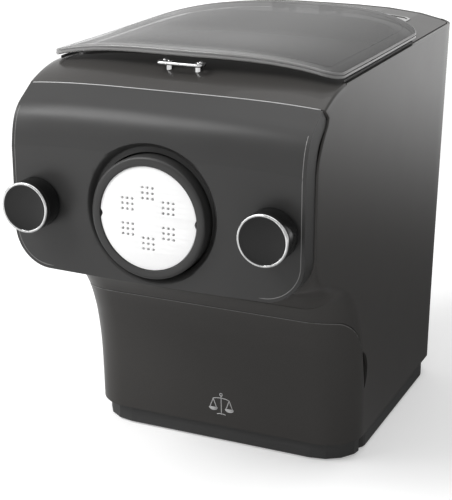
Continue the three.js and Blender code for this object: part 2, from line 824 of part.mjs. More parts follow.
// Outline of the panel seen from the side, drawn in by inset and moved forward by bow.
function panelRing(x, inset) {
  const half = panelHalf;
  const bow = panelBow * (1 - (x / half) ** 2);
  const top = panelTopFront + crownAt(x, half, headCrown) - inset;
  const bendFoot = top - panelBendHeight;
  const front = panelFront - bow + inset;
  const foot = panelFoot + inset;
  const ring = [point(x, front + panelLip, foot), point(x, front, foot + panelLip)];
  bendShares.forEach(([up, back]) => {
    ring.push(point(x, front + back * panelBendReach, bendFoot + up * panelBendHeight));
  });
  const tipShift = inset > 0 ? 0 : -2 * inset;
  const tuck = inset > 0 ? 0 : 2 * inset;
  ring.push(point(x, front + panelBendReach + panelTip + tipShift, top));
  const rearTop = panelFront + panelBendReach + panelNotch;
  const rearShift = inset > 0 ? panelDepth : -inset;
  ring.push(point(x, rearTop + rearShift, top - panelNotchDrop + tuck / 2));
  [...bendShares].reverse().slice(1).forEach(([up, back]) => {
    const y = panelRear + back * panelBendReach * panelRearShare;
    const z = bendFoot + up * (panelBendHeight - panelNotchDrop - seat + tuck);
    ring.push(point(x, y + rearShift, z));
  });
  ring.push(point(x, panelRear + rearShift, foot));
  return ring;
}

// Solid of the panel without its holes; a negative inset makes it larger all round.
function panelVolume(inset) {
  const half = panelHalf - inset;
  const steps = 6;
  const rings = [];
  for (let i = 0; i <= steps; i += 1) {
    rings.push(panelRing(THREE.MathUtils.lerp(-half, half, i / steps), inset));
  }
  const low = panelFoot + inset;
  const radius = panelCornerRadius - inset;
  const face = softRect(-half, half, low, 2 * highTop, radius, radius);
  return loft(rings, ['y', 'z']).intersect(alongY(face, -2 * bodyWidth, 2 * bodyWidth));
}

add('head_housing', headHousing(), 'gloss');

// Hollow behind, with a boss round each hole.
function frontPanel() {
  const solid = panelVolume(0);
  const dishFront = panelFront - panelBow;
  const holeRadius = ringRadius + ringGap;
  const hollow = panelVolume(panelSkin);
  const ringBoss = barY(dishRadius + panelSkin, dishFront - overrun, panelRear, 0, axisHeight);
  let panel = solid.subtract(hollow).add(solid.intersect(ringBoss));
  sides.forEach(([, side]) => {
    const x = (side * knobSpacing) / 2;
    const boss = barY(bossRadius, dishFront - overrun, panelRear, x, knobHeight, smallSides);
    const hole = barY(screwRadius + seat, dishFront - overrun, panelRear + overrun, x, knobHeight, smallSides);
    panel = panel.add(solid.intersect(boss)).subtract(hole);
  });
  const dish = turned([
    [0, dishFront - overrun], [dishRadius + overrun, dishFront - overrun], [dishRadius, dishFront],
    [dishRadius - dishDepth / 2, dishFront + dishDepth], [0, dishFront + dishDepth],
  ], 0, axisHeight);
  return panel.subtract(dish)
    .subtract(barY(holeRadius, dishFront - overrun, panelRear + overrun, 0, axisHeight));
}

add('front_panel', frontPanel(), 'satin');

// Extrusion: tube, disc and ring nut.
const flangeFront = discFace + discThickness + seat;
const tubeBack = chamberFront - chamberWall - seat;

add('extrusion_tube', turned([
  [tubeBore, flangeFront], [tubeFlange, flangeFront], [tubeFlange, flangeFront + tubeFlangeThickness],
  [tubeBore + tubeWall, flangeFront + tubeFlangeThickness], [tubeBore + tubeWall, tubeBack],
  [tubeBore, tubeBack], [tubeBore, flangeFront],
], 0, axisHeight), 'grey');

function discShape() {
  const shape = new THREE.Shape(circle(discRadius, roundSides));
  for (let group = 0; group < discGroups; group += 1) {
    const angle = ((group + 1 / 2) * 2 * Math.PI) / discGroups;
    const middle = (discGroupSide - 1) / 2;
    for (let row = 0; row < discGroupSide; row += 1) {
      for (let column = 0; column < discGroupSide; column += 1) {
        const u = discGroupRadius * Math.cos(angle) + (column - middle) * discHolePitch;
        const v = discGroupRadius * Math.sin(angle) + (row - middle) * discHolePitch;
        shape.holes.push(new THREE.Path(circle(discHoleRadius, discHoleSides, u, v)));
      }
    }
  }
  return shape;
}

function shapingDisc() {
  const turn = new THREE.Matrix4().makeBasis(axisX, axisZ, axisY.clone().negate());
  const plate = extrude(discShape(), discFace, discFace + discThickness)
    .applyMatrix4(turn)
    .translate(0, discFace + discThickness, axisHeight);
  return sides.reduce((disc, [, side]) => {
    const near = discRadius - discNotch;
    const notch = mirroredBox(side, near, discRadius + overrun, discFace - overrun,
      discFace + discThickness / 2, axisHeight - discNotch, axisHeight + discNotch);
    return disc.subtract(notch);
  }, toSolid(plate));
}

add('shaping_disc', shapingDisc(), 'white');

const ringBore = bored(tubeFlange + bushFit, roundSides);
add('ring_nut', turned([
  [ringLipRadius, ringFace], [ringRadius - ringChamfer, ringFace], [ringRadius, ringFace + ringChamfer],
  [ringRadius, ringFace + ringLength], [ringBore, ringFace + ringLength], [ringBore, flangeFront - seat],
  [ringLipRadius, flangeFront - seat], [ringLipRadius, ringFace],
], 0, axisHeight), 'satin');

// Fastening knobs: a hollow cap with a chrome ring, on a screw that reaches into the head.
const knobBack = knobFace + knobLength;
const knobSeatRadius = knobRadius - knobRingWidth - seat;
const knobBore = screwRadius + seat;
const knobHub = screwRadius + knobSkirtWall;
const knobDeep = knobFace + knobFaceWall;

sides.forEach(([name, side]) => {
  const x = (side * knobSpacing) / 2;
  add(`knob_${name}`, turned([
    [0, knobFace + knobDish], [knobSeatRadius - knobDish, knobFace + knobDish], [knobSeatRadius, knobFace],
    [knobSeatRadius, knobFace + knobRingDepth + seat], [knobRadius, knobFace + knobRingDepth + seat],
    [knobRadius, knobBack], [knobRadius - knobSkirtWall, knobBack], [knobRadius - knobSkirtWall, knobDeep],
    [knobHub, knobDeep], [knobHub, knobBack], [knobBore, knobBack], [knobBore, knobDeep - seat],
    [0, knobDeep - seat],
  ], x, knobHeight), 'black');
  add(`knob_ring_${name}`, turned([
    [knobSeatRadius + seat, knobFace], [knobRadius, knobFace], [knobRadius, knobFace + knobRingDepth],
    [knobSeatRadius + seat, knobFace + knobRingDepth], [knobSeatRadius + seat, knobFace],
  ], x, knobHeight), 'chrome');
  const screwFront = knobDeep;
  add(`knob_screw_${name}`, barY(screwRadius, screwFront, screwFront + screwLength, x, knobHeight,
    smallSides), 'steel');
});

// Kneading chamber: a trough round the auger that widens to its open top.
function chamberSection(grow) {
  const steps = 12;
  const points = [];
  for (let i = 0; i <= steps; i += 1) {
    const angle = Math.PI * (1 + i / steps);
    const radius = chamberRadius + grow;
    points.push([radius * Math.cos(angle), axisHeight + radius * Math.sin(angle)]);
  }
  const top = grow > 0 ? chamberTop : chamberTop + overrun;
  const last = chamberTopHalf + grow;
  points.push([chamberRadius + grow, chamberFlareHeight - grow], [last, chamberTop - chamberRim], [last, top]);
  points.push([-last, top], [-last, chamberTop - chamberRim], [-chamberRadius - grow, chamberFlareHeight - grow]);
  return outline(points);
}

function chamberPlan(grow) {
  const half = chamberTopHalf + grow;
  return softRect(-half, half, chamberFront - grow, chamberBack + grow, chamberFrontCorner + grow,
    chamberCornerRadius + grow);
}

function chamber() {
  const body = (grow) => alongY(chamberSection(grow), chamberFront - grow, chamberBack + grow)
    .intersect(alongZ(chamberPlan(grow), 0, highTop));
  const rim = alongZ(chamberPlan(chamberWall + chamberRim), chamberTop - chamberWall, chamberTop)
    .intersect(box(-bodyWidth, bodyWidth, chamberFront - chamberWall, deckBack, 0, highTop))
    .subtract(alongZ(chamberPlan(0), chamberTop - chamberRim, chamberTop + overrun));
  return body(chamberWall).add(rim)
    .subtract(body(0))
    .subtract(barY(tubeBore, chamberFront - 2 * chamberWall, chamberFront + overrun, 0, axisHeight))
    .subtract(barY(shaftRadius + seat, chamberBack - overrun, chamberBack + 2 * chamberWall, 0, axisHeight));
}

add('mixing_chamber', chamber(), 'grey');

// Top deck with its collar, the hinge cheeks and the seat of the control panel.
function controlShape(inset) {
  const steps = 8;
  const half = controlWidth / 2 - inset;
  const points = [];
  for (let i = 0; i <= steps; i += 1) {
    const x = half * (1 - (2 * i) / steps);
    const share = x / (lidHalf + controlSpace);
    const y = lidSideBack + (lidTail + controlSpace) * Math.sqrt(1 - share ** 2) + inset;
    points.push([x, y]);
  }
  const back = controlBack - inset;
  points.push([-half, back - controlCorner], [-half + controlCorner, back], [half - controlCorner, back]);
  points.push([half, back - controlCorner]);
  return outline(points);
}

// The layer of the crowned surface between two depths, inside a plan outline.
function layer(shape, rise, depth) {
  return alongZ(shape, axisHeight, highTop + lidDepth + overrun)
    .intersect(underCrown(-rise))
    .subtract(underCrown(depth));
}

const boardTop = deckEdge(buttonY) - boardDepth;
const deckSide = halfBody - wall - seat;
const hingeZ = deckAt(hingeSpacing / 2, hingeBack) + hingeRise;
const cheekReach = knuckleRadius - seat / 2;

function hingePlaces() {
  return sides.map(([name, side]) => [name, (side * hingeSpacing) / 2]);
}

function boardPosts() {
  return sides.map(([, side]) => side * (controlWidth / 2 - 2 * boardPostRadius));
}

function topDeck() {
  const deckPlan = softRect(-deckSide, deckSide, seamY + seat, deckBack - wall - 2 * seat - deckBackGap,
    seat, backCornerRadius - wall);
  const collar = layer(chamberPlan(chamberWall), lidLedge, 2 * crownRise)
    .intersect(box(-bodyWidth, bodyWidth, -bodyWidth, deckBack, chamberTop + seat, 2 * highTop));
  let deck = layer(deckPlan, 0, wall)
    .add(collar)
    .subtract(alongZ(chamberPlan(0), 0, 2 * highTop))
    .add(layer(controlShape(-wall), -seat, bezelDepth + ledgeThickness))
    .subtract(layer(controlShape(-seat), overrun, bezelDepth))
    .subtract(alongZ(controlShape(bezelWidth + seat + ledgeWidth), 0, 2 * highTop));
  hingePlaces().forEach(([, x]) => {
    const reach = knuckleLength / 2 + seat;
    sides.forEach(([, side]) => {
      const ends = [x + side * reach, x + side * (reach + cheekWidth)].sort((a, b) => a - b);
      const cheek = box(...ends, hingeBack - cheekReach, hingeBack + cheekReach,
        hingeZ - hingeRise - wall, hingeZ);
      deck = deck.add(cheek).add(barX(cheekReach, ...ends, hingeBack, hingeZ));
    });
    deck = deck.subtract(barX(pinRadius + pinFit, x - reach - cheekWidth - overrun,
      x + reach + cheekWidth + overrun, hingeBack, hingeZ));
  });
  boardPosts().forEach((x) => {
    const post = barZ(boardPostRadius, boardTop + seat, highTop, x, longKeyY)
      .intersect(underCrown(bezelDepth + seat));
    deck = deck.add(post);
  });
  return deck;
}

add('top_deck', topDeck(), 'gloss');

// Control panel: bezel, window, keys and the board under them.
const bezel = layer(controlShape(0), bezelRise, bezelDepth - seat)
  .subtract(alongZ(controlShape(bezelWidth), 0, 2 * highTop));
add('control_bezel', bezel, 'chrome');

const keys = [];
for (let i = 0; i < buttonCount; i += 1) {
  const x = (i - (buttonCount - 1) / 2) * buttonStep;
  keys.push([`program_button_${i + 1}`, (grow) => new THREE.Shape(circle(buttonRadius + grow, smallSides,
    x, buttonY)), x, buttonY]);
}
sides.forEach(([, side]) => {
  const x = (side * longKeySpacing) / 2;
  const name = side > 0 ? 'start_button' : 'power_button';
  const half = longKeyLength / 2;
  keys.push([name, (grow) => softRect(x - half - grow, x + half + grow, longKeyY - longKeyDepth / 2 - grow,
    longKeyY + longKeyDepth / 2 + grow, longKeyDepth / 2 + grow, longKeyDepth / 2 + grow), x, longKeyY]);
});

const pane = keys.reduce((plate, [, shape]) => (
  plate.subtract(alongZ(shape(buttonFit), 0, 2 * highTop))
), layer(controlShape(bezelWidth + seat), 0, windowThickness));
const keyDepth = windowThickness - seat;
add('display_window', pane, 'black');

keys.forEach(([name, shape, x, y]) => {
  const cap = layer(shape(0), buttonProud, keyDepth);
  const stem = barZ(domeRadius, boardTop + domeHeight + buttonTravel + seat, deckAt(x, y) - seat, x, y);
  add(name, cap.add(stem), 'grey');
});

const boardHalf = controlWidth / 2;
const board = keys.reduce((plate, [, , x, y]) => (
  plate.add(barZ(domeRadius, boardTop - seat, boardTop + domeHeight, x, y))
), box(-boardHalf, boardHalf, longKeyY - longKeyDepth, controlBack, boardTop - boardThickness, boardTop));
add('control_board', board, 'board');

// Lid: a crowned clear shell with a skirt, hinged behind.
function lidPlan(inset) {
  const half = lidHalf - inset;
  const tail = lidTail - inset;
  const steps = 9;
  const points = [];
  for (let i = 0; i <= 2 * steps; i += 1) {
    const angle = (Math.PI * i) / (2 * steps);
    points.push([half * Math.cos(angle), lidSideBack + tail * Math.sin(angle)]);
  }
  const corner = Math.max(lidFrontCorner - inset, seat);
  const cornerY = lidFront + lidFrontBow + inset + corner;
  for (let i = 1; i <= arcSteps; i += 1) {
    const angle = (Math.PI / 2) * (1 + i / arcSteps) + Math.PI / 2;
    points.push([-half + corner + corner * Math.cos(angle), cornerY + corner * Math.sin(angle)]);
  }
  const front = half - corner;
  for (let i = 1; i < steps; i += 1) {
    const x = front * ((2 * i) / steps - 1);
    points.push([x, lidFront + inset + lidFrontBow * (x / front) ** 2]);
  }
  for (let i = 0; i < arcSteps; i += 1) {
    const angle = (Math.PI / 2) * (i / arcSteps) - Math.PI / 2;
    points.push([half - corner + corner * Math.cos(angle), cornerY + corner * Math.sin(angle)]);
  }
  return outline(points);
}

function lidShell() {
  const hollow = alongZ(lidPlan(lidRim), 0, 2 * highTop).intersect(underCrown(lidSkin - lidDepth));
  let lid = layer(lidPlan(0), lidDepth, -seat).subtract(hollow);
  hingePlaces().forEach(([, x]) => {
    const half = knuckleLength / 2;
    const root = hingeBack - 2 * knuckleRadius - lidRim;
    const lug = box(x - half, x + half, root, hingeBack, hingeZ - knuckleRadius + lugLift, hingeZ + knuckleRadius)
      .intersect(underCrown(-lidDepth));
    lid = lid.add(lug)
      .add(barX(knuckleRadius, x - half, x + half, hingeBack, hingeZ))
      .subtract(barX(pinRadius + pinFit, x - half - overrun, x + half + overrun, hingeBack, hingeZ));
  });
  return lid;
}

add('lid', lidShell(), 'lid');

hingePlaces().forEach(([name, x]) => {
  const half = knuckleLength / 2 + seat + cheekWidth;
  add(`lid_pin_${name}`, barX(pinRadius, x - half, x + half, hingeBack, hingeZ), 'steel');
});

// Latch: a wire bail that turns in two posts on the head.
const bailHeight = headEdge(bailPivot) + headCrownAt(bailPivot) + bailRise;

function bailWire() {
  const half = bailWidth / 2;
  const end = postSpacing / 2 - seat;
  const bend = bailCorner;
  const right = [
    point(end, bailPivot, bailHeight), point(half - bend, bailPivot, bailHeight),
    point(half, bailPivot - bend, bailHeight), point(half, bailFront + bend, bailHeight),
    point(half - bend, bailFront, bailHeight),
  ];
  const left = right.map((p) => point(-p.x, p.y, p.z)).reverse();
  const path = new THREE.CurvePath();
  const stops = [...right, ...left];
  for (let i = 0; i < stops.length - 1; i += 1) {
    const [from, to] = [stops[i], stops[i + 1]];
    const bent = from.x !== to.x && from.y !== to.y;
    const corner = point(Math.sign(from.x + to.x) * half, from.y > bailFront + 2 * bend ? bailPivot : bailFront,
      bailHeight);
    path.add(bent ? new THREE.QuadraticBezierCurve3(from, corner, to) : new THREE.LineCurve3(from, to));
  }
  const section = new THREE.Shape(circle(bailRadius, bailSides));
  const options = { steps: bailSteps, extrudePath: path, bevelEnabled: false };
  return toSolid(new THREE.ExtrudeGeometry(section, options));
}

add('latch_bail', bailWire(), 'chrome');

sides.forEach(([name, side]) => {
  const x = (side * postSpacing) / 2;
  const bore = barX(bailRadius + seat, side > 0 ? x - bailBoreDepth : -acrossTo,
    side > 0 ? acrossTo : x + bailBoreDepth, bailPivot, bailHeight);
  const post = barZ(postRadius, axisHeight, bailHeight + postTop, x, bailPivot)
    .subtract(headUpper(-seat, bulkheadFront, seamY, neckTop))
    .subtract(bore);
  add(`latch_post_${name}`, post, 'chrome');
});

// Drive: motor, two-stage gears, shaft and auger.
const fineDistance = (gearModuleFine * (motorTeeth + layTeeth)) / 2 + gearSlack;
const coarseDistance = (gearModuleCoarse * (layPinionTeeth + finalTeeth)) / 2 + gearSlack;
const layHeight = axisHeight - coarseDistance;
const motorHeight = layHeight - fineDistance;
const gearboxBack = gearboxFront + gearboxDepth;
const fineFrom = gearboxFront + gearboxWall + gearRun;
const fineTo = fineFrom + gearFine;
const coarseFrom = fineTo + gearRun;
const coarseTo = coarseFrom + gearCoarse;
const quarterTurn = Math.PI / 2;

// Toothed wheel outline about (0, z); a tooth points along phase.
function gearShape(teeth, size, phase, z) {
  const pitch = (teeth * size) / 2;
  const [root, tip] = [pitch - gearRootShare * size, pitch + size];
  const half = (Math.PI / (2 * teeth)) * toothShare;
  const points = [];
  for (let i = 0; i < teeth; i += 1) {
    const middle = phase + (2 * Math.PI * i) / teeth;
    [[root, -half * toothRootShare], [tip, -half * toothTipShare], [tip, half * toothTipShare],
      [root, half * toothRootShare]].forEach(([radius, offset]) => {
      const angle = middle + offset;
      points.push([radius * Math.cos(angle), z + radius * Math.sin(angle)]);
    });
  }
  return outline(points);
}

const motorBack = gearboxFront - seat;
const motorFront = motorBack - motorLength;
const fanBack = motorFront - seat;

const motorPinion = alongY(gearShape(motorTeeth, gearModuleFine, quarterTurn + Math.PI / motorTeeth,
  motorHeight), fineFrom, fineTo)
  .add(barY(motorShaftRadius, fanBack - fanLength, fineTo, 0, motorHeight, smallSides));
add('motor_pinion', motorPinion, 'steel');

const layGear = alongY(gearShape(layTeeth, gearModuleFine, quarterTurn, layHeight), fineFrom, fineTo)
  .add(alongY(gearShape(layPinionTeeth, gearModuleCoarse, quarterTurn, layHeight), fineTo - seat, coarseTo))
  .add(barY(layShaftRadius, gearboxFront + seat, gearboxBack - seat, 0, layHeight, smallSides));
add('layshaft_gear', layGear, 'steel');

const gearBore = (z) => barY(shaftRadius + bushFit, gearboxFront, gearboxBack, 0, z);
const webCount = 6;
const finalWheel = Array.from({ length: webCount }).reduce((wheel, _, i) => {
  const angle = (2 * Math.PI * (i + 1 / 2)) / webCount;
  const reach = (gearModuleCoarse * finalTeeth) / 2 * webReachShare;
  return wheel.subtract(barY(webHoleRadius, coarseFrom - overrun, coarseTo + overrun,
    reach * Math.cos(angle), axisHeight + reach * Math.sin(angle), smallSides));
}, alongY(gearShape(finalTeeth, gearModuleCoarse, -quarterTurn + Math.PI / finalTeeth, axisHeight),
  coarseFrom, coarseTo)).subtract(gearBore(axisHeight));
add('final_gear', finalWheel, 'steel');

const hexFront = chamberBack - hexDepth;
const hexShape = (across) => new THREE.Shape(circle(across / Math.sqrt(3), 6, 0, axisHeight));
const driveShaft = barY(shaftRadius, chamberBack, gearboxBack - gearboxWall + seat, 0, axisHeight)
  .add(alongY(hexShape(hexAcross), hexFront, chamberBack + seat));
add('drive_shaft', driveShaft, 'steel');

const bushBore = bored(shaftRadius + bushFit, roundSides);
const layBore = bored(layShaftRadius + bushFit, smallSides);
const bushes = [['front', gearboxFront], ['rear', gearboxBack - gearboxWall]];
bushes.forEach(([end, y]) => {
  add(`shaft_bush_${end}`, turned([
    [bushBore, y], [bushRadius, y], [bushRadius, y + gearboxWall], [bushBore, y + gearboxWall], [bushBore, y],
  ], 0, axisHeight), 'brass');
});

const caseTop = (gearModuleCoarse * (finalTeeth + 2)) / 2 + gearboxMargin;
const caseMiddle = (gearModuleFine * (layTeeth + 2)) / 2 + gearboxMargin;
const motorNose = (gearModuleFine * (motorTeeth + 2)) / 2 + gearboxMargin;

function caseBody(grow, y0, y1) {
  return barY(caseTop + grow, y0, y1, 0, axisHeight)
    .add(barY(caseMiddle + grow, y0, y1, 0, layHeight))
    .add(barY(motorNose + grow, y0, y1, 0, motorHeight, smallSides));
}

function gearboxCase() {
  const legHalf = caseMiddle + gearboxWall;
  const legs = box(-legHalf, legHalf, gearboxFront, gearboxBack - gearboxWall - seat, plinthHeight, layHeight)
    .subtract(box(-legHalf + legWidth, legHalf - legWidth, gearboxFront - overrun, gearboxBack, 0,
      motorHeight - motorNose - legWidth));
  return caseBody(gearboxWall, gearboxFront, gearboxBack - gearboxWall - seat).add(legs)
    .subtract(caseBody(0, gearboxFront + gearboxWall, gearboxBack))
    .subtract(barY(bushRadius + bushFit, 0, gearboxBack, 0, axisHeight))
    .subtract(barY(layBore, 0, gearboxBack, 0, layHeight, smallSides))
    .subtract(barY(motorShaftRadius + seat, 0, gearboxBack, 0, motorHeight, smallSides));
}

add('gearbox_housing', gearboxCase(), 'satin');

const gearboxCover = caseBody(gearboxWall, gearboxBack - gearboxWall, gearboxBack)
  .subtract(barY(bushRadius + bushFit, 0, 2 * gearboxBack, 0, axisHeight))
  .subtract(barY(layBore, 0, 2 * gearboxBack, 0, layHeight, smallSides));
add('gearbox_cover', gearboxCover, 'satin');

add('motor', barY(motorRadius, motorFront, motorBack, 0, motorHeight)
  .subtract(barY(motorShaftRadius + seat, 0, gearboxBack, 0, motorHeight, smallSides)), 'steel');

function motorFan() {
  const front = fanBack - fanLength;
  let fan = barY(fanHub, front, fanBack, 0, motorHeight, smallSides);
  for (let i = 0; i < fanBlades; i += 1) {
    const angle = (2 * Math.PI * i) / fanBlades;
    const turn = new THREE.Matrix4().makeRotationY(angle);
    const blade = new THREE.BoxGeometry(fanRadius - fanHub / 2, fanLength - fanBladeThickness,
      fanBladeThickness);
    blade.rotateX(Math.PI / fanPitchShare);
    blade.translate((fanRadius + fanHub / 2) / 2, 0, 0).applyMatrix4(turn);
    blade.translate(0, (front + fanBack) / 2, motorHeight);
    fan = fan.add(toSolid(blade));
  }
  const room = barY(fanRadius, front, fanBack, 0, motorHeight);
  return fan.intersect(room).subtract(barY(motorShaftRadius + bushFit, 0, gearboxBack, 0, motorHeight,
    smallSides));
}

add('motor_fan', motorFan(), 'grey');

const cradleHalf = motorRadius + cradleWall;
const cradle = box(-cradleHalf, cradleHalf, motorFront + cradleWall, motorBack - cradleWall, plinthHeight,
  motorHeight)
  .subtract(barY(motorRadius + seat, 0, gearboxBack, 0, motorHeight))
  .subtract(box(-cradleHalf + legWidth, cradleHalf - legWidth, 0, gearboxBack, 0,
    motorHeight - motorRadius - legWidth));
add('motor_cradle', cradle, 'steel');

// Auger: a screw flight in the tube and kneading paddles in the chamber.
function augerFlight() {
  const outer = tubeBore - augerClear;
  const inner = augerHub - seat;
  const start = flangeFront + flightThickness;
  const rings = [];
  for (let i = 0; i <= flightTurns * flightSteps; i += 1) {
    const angle = (2 * Math.PI * i) / flightSteps;
    const middle = start + (flightPitch * i) / flightSteps;
    rings.push([
      [inner, -flightThickness / 2], [outer, -flightThickness / 4], [outer, flightThickness / 4],
      [inner, flightThickness / 2],
    ].map(([radius, shift]) => (
      point(radius * Math.cos(angle), middle + shift, axisHeight + radius * Math.sin(angle))
    )));
  }
  return loft(rings, ['x', 'y']);
}

function paddle(index) {
  const room = chamberBack - chamberFront;
  const y = chamberFront + (room * (index + 1)) / (paddleCount + 1);
  const arm = rect(augerHub / 2, paddleReach, -paddleWidth / 2, paddleWidth / 2);
  const bladeHalf = room / (paddleCount + 1) / 3;
  const blade = outline([
    [paddleReach - paddleWidth, -bladeHalf], [paddleReach, -bladeHalf], [paddleReach, bladeHalf],
    [paddleReach - paddleWidth, bladeHalf],
  ]);
  const turn = new THREE.Matrix4().makeTranslation(0, y, axisHeight)
    .multiply(new THREE.Matrix4().makeRotationY((index * Math.PI) / 2));
  const [armSolid, bladeSolid] = [arm, blade].map((shape) => (
    toSolid(extrude(shape, -paddleThickness / 2, paddleThickness / 2)
      .translate(0, 0, -paddleThickness / 2)
      .applyMatrix4(turn))
  ));
  return armSolid.add(bladeSolid);
}

function auger() {
  const hubFront = flangeFront + flightThickness / 2;
  const hubBack = chamberBack - 2 * augerClear;
  const socket = alongY(hexShape(hexAcross + 2 * seat), hexFront - seat, hubBack + overrun);
  let screw = barY(augerHub, hubFront, hubBack, 0, axisHeight).add(augerFlight());
  for (let i = 0; i < paddleCount; i += 1) {
    screw = screw.add(paddle(i));
  }
  return screw.subtract(socket);
}

add('kneading_auger', auger(), 'grey');

// Back: cover with vents, mains inlet and rocker switch.
function centredBox(x, z, width, height, y0, y1) {
  return box(x - width / 2, x + width / 2, y0, y1, z - height / 2, z + height / 2);
}

const backInside = backFoot - wall - seat; // nearest the inner face comes at the foot
const rockerY = backInside - rockerDepth;

function rearCover() {
  let cover = bodySkin.intersect(rearPart);
  for (let i = 0; i < ventSlots; i += 1) {
    cover = cover.subtract(centredBox(0, ventFoot + i * ventPitch, ventWidth, ventSlot, backInside - overrun,
      2 * deckBack));
  }
  return cover
    .subtract(centredBox(inletX, inletLevel, inletWidth + 2 * seat, inletHeight + 2 * seat,
      backInside - overrun, 2 * deckBack))
    .subtract(centredBox(switchX, inletLevel, switchWidth + 2 * seat, switchHeight + 2 * seat,
      backInside - overrun, 2 * deckBack));
}

add('rear_cover', rearCover(), 'gloss');

function powerInlet() {
  const mouth = backFoot;
  const shell = centredBox(inletX, inletLevel, inletWidth, inletHeight, mouth - inletDepth, mouth)
    .add(centredBox(inletX, inletLevel, inletWidth + 2 * inletWall, inletHeight + 2 * inletWall,
      mouth - inletDepth, backInside))
    .subtract(centredBox(inletX, inletLevel, inletWidth - 2 * inletWall, inletHeight - 2 * inletWall,
      mouth - inletRecess, mouth + overrun));
  return [[-pinSpacing, -1], [0, 1], [pinSpacing, -1]].reduce((inlet, [x, up]) => (
    inlet.add(centredBox(inletX + x, inletLevel + (up * pinOffset), pinWidth, pinTall,
      mouth - inletRecess - seat, mouth - inletWall))
  ), shell);
}

add('power_inlet', powerInlet(), 'black');

const switchHousing = centredBox(switchX, inletLevel, switchWidth + 2 * inletWall, switchHeight + 2 * inletWall,
  rockerY - 2 * rockerDepth, backInside)
  .subtract(centredBox(switchX, inletLevel, switchWidth, switchHeight, rockerY - rockerDepth - seat,
    backInside + overrun))
  .subtract(barX(pinRadius + pinFit, switchX - switchWidth, switchX + switchWidth, rockerY, inletLevel));
add('switch_housing', switchHousing, 'black');

function rocker() {
  const half = switchHeight / 2 - rockerInset;
  const nose = rockerDepth + wall;
  const profile = [
    [nose - rockerInset, -half], [nose, 0], [nose - rockerInset, half], [-rockerInset, half / 2],
    [-rockerInset * 2, 0], [-rockerInset, -half / 2],
  ];
  const tilt = THREE.MathUtils.degToRad(-rockerAngle);
  const tilted = profile.map(([y, z]) => [
    rockerY + y * Math.cos(tilt) - z * Math.sin(tilt), inletLevel + y * Math.sin(tilt) + z * Math.cos(tilt),
  ]);
  const halfWidth = switchWidth / 2 - seat;
  return alongX(outline(tilted), switchX - halfWidth, switchX + halfWidth)
    .add(barX(pinRadius, switchX - switchWidth / 2 - inletWall / 2, switchX + switchWidth / 2 + inletWall / 2,
      rockerY, inletLevel));
}

add('power_switch', rocker(), 'black');

// The origin is the bottom centre of the whole.
const bounds = new THREE.Box3().setFromObject(model);
const middle = bounds.getCenter(new THREE.Vector3());
model.position.set(-middle.x, -middle.y, -bounds.min.z);

export default model;
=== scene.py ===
import json
import math

import bmesh
import bpy
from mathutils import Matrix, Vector


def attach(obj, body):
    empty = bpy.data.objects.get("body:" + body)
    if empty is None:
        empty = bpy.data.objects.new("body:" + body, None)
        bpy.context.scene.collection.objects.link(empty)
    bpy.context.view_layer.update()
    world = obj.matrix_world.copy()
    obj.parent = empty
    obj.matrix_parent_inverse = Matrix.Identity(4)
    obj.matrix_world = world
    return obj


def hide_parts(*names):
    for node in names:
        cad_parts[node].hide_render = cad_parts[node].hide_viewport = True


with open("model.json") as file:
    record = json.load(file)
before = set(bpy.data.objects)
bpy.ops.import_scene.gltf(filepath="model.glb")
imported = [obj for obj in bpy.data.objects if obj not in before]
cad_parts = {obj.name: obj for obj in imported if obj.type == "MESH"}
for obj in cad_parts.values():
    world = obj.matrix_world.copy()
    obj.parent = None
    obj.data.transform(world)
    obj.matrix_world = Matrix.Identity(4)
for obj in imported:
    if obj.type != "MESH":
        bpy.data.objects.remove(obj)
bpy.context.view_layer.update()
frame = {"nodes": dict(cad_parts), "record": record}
NODES = frame["nodes"]
MM = 0.001


def placed(name, data):
    """A new object in the scene for a mesh, curve, lamp or camera."""
    thing = bpy.data.objects.new(name, data)
    bpy.context.scene.collection.objects.link(thing)
    return thing


def aim(thing, direction):
    """Turns a camera or lamp so that it looks along a direction."""
    thing.rotation_mode = "QUATERNION"
    thing.rotation_quaternion = direction.to_track_quat("-Z", "Y")


# Camera
AZIMUTH, ELEVATION = math.radians(24.509), math.radians(18.561)
CAMERA_PLACE = Vector((0.3921, -0.89415, 0.4659))
LENS, SENSOR_WIDTH, CLIP_START = 97.4, 36.0, 0.01


def make_camera():
    data = bpy.data.cameras.new("camera")
    data.lens = LENS
    data.sensor_width = SENSOR_WIDTH
    data.sensor_fit = "AUTO"
    data.clip_start = CLIP_START
    camera = placed("camera", data)
    camera.location = CAMERA_PLACE
    aim(camera, Vector((
        -math.sin(AZIMUTH) * math.cos(ELEVATION),
        math.cos(AZIMUTH) * math.cos(ELEVATION),
        -math.sin(ELEVATION),
    )))
    bpy.context.scene.camera = camera


# Materials
MATERIALS = {}


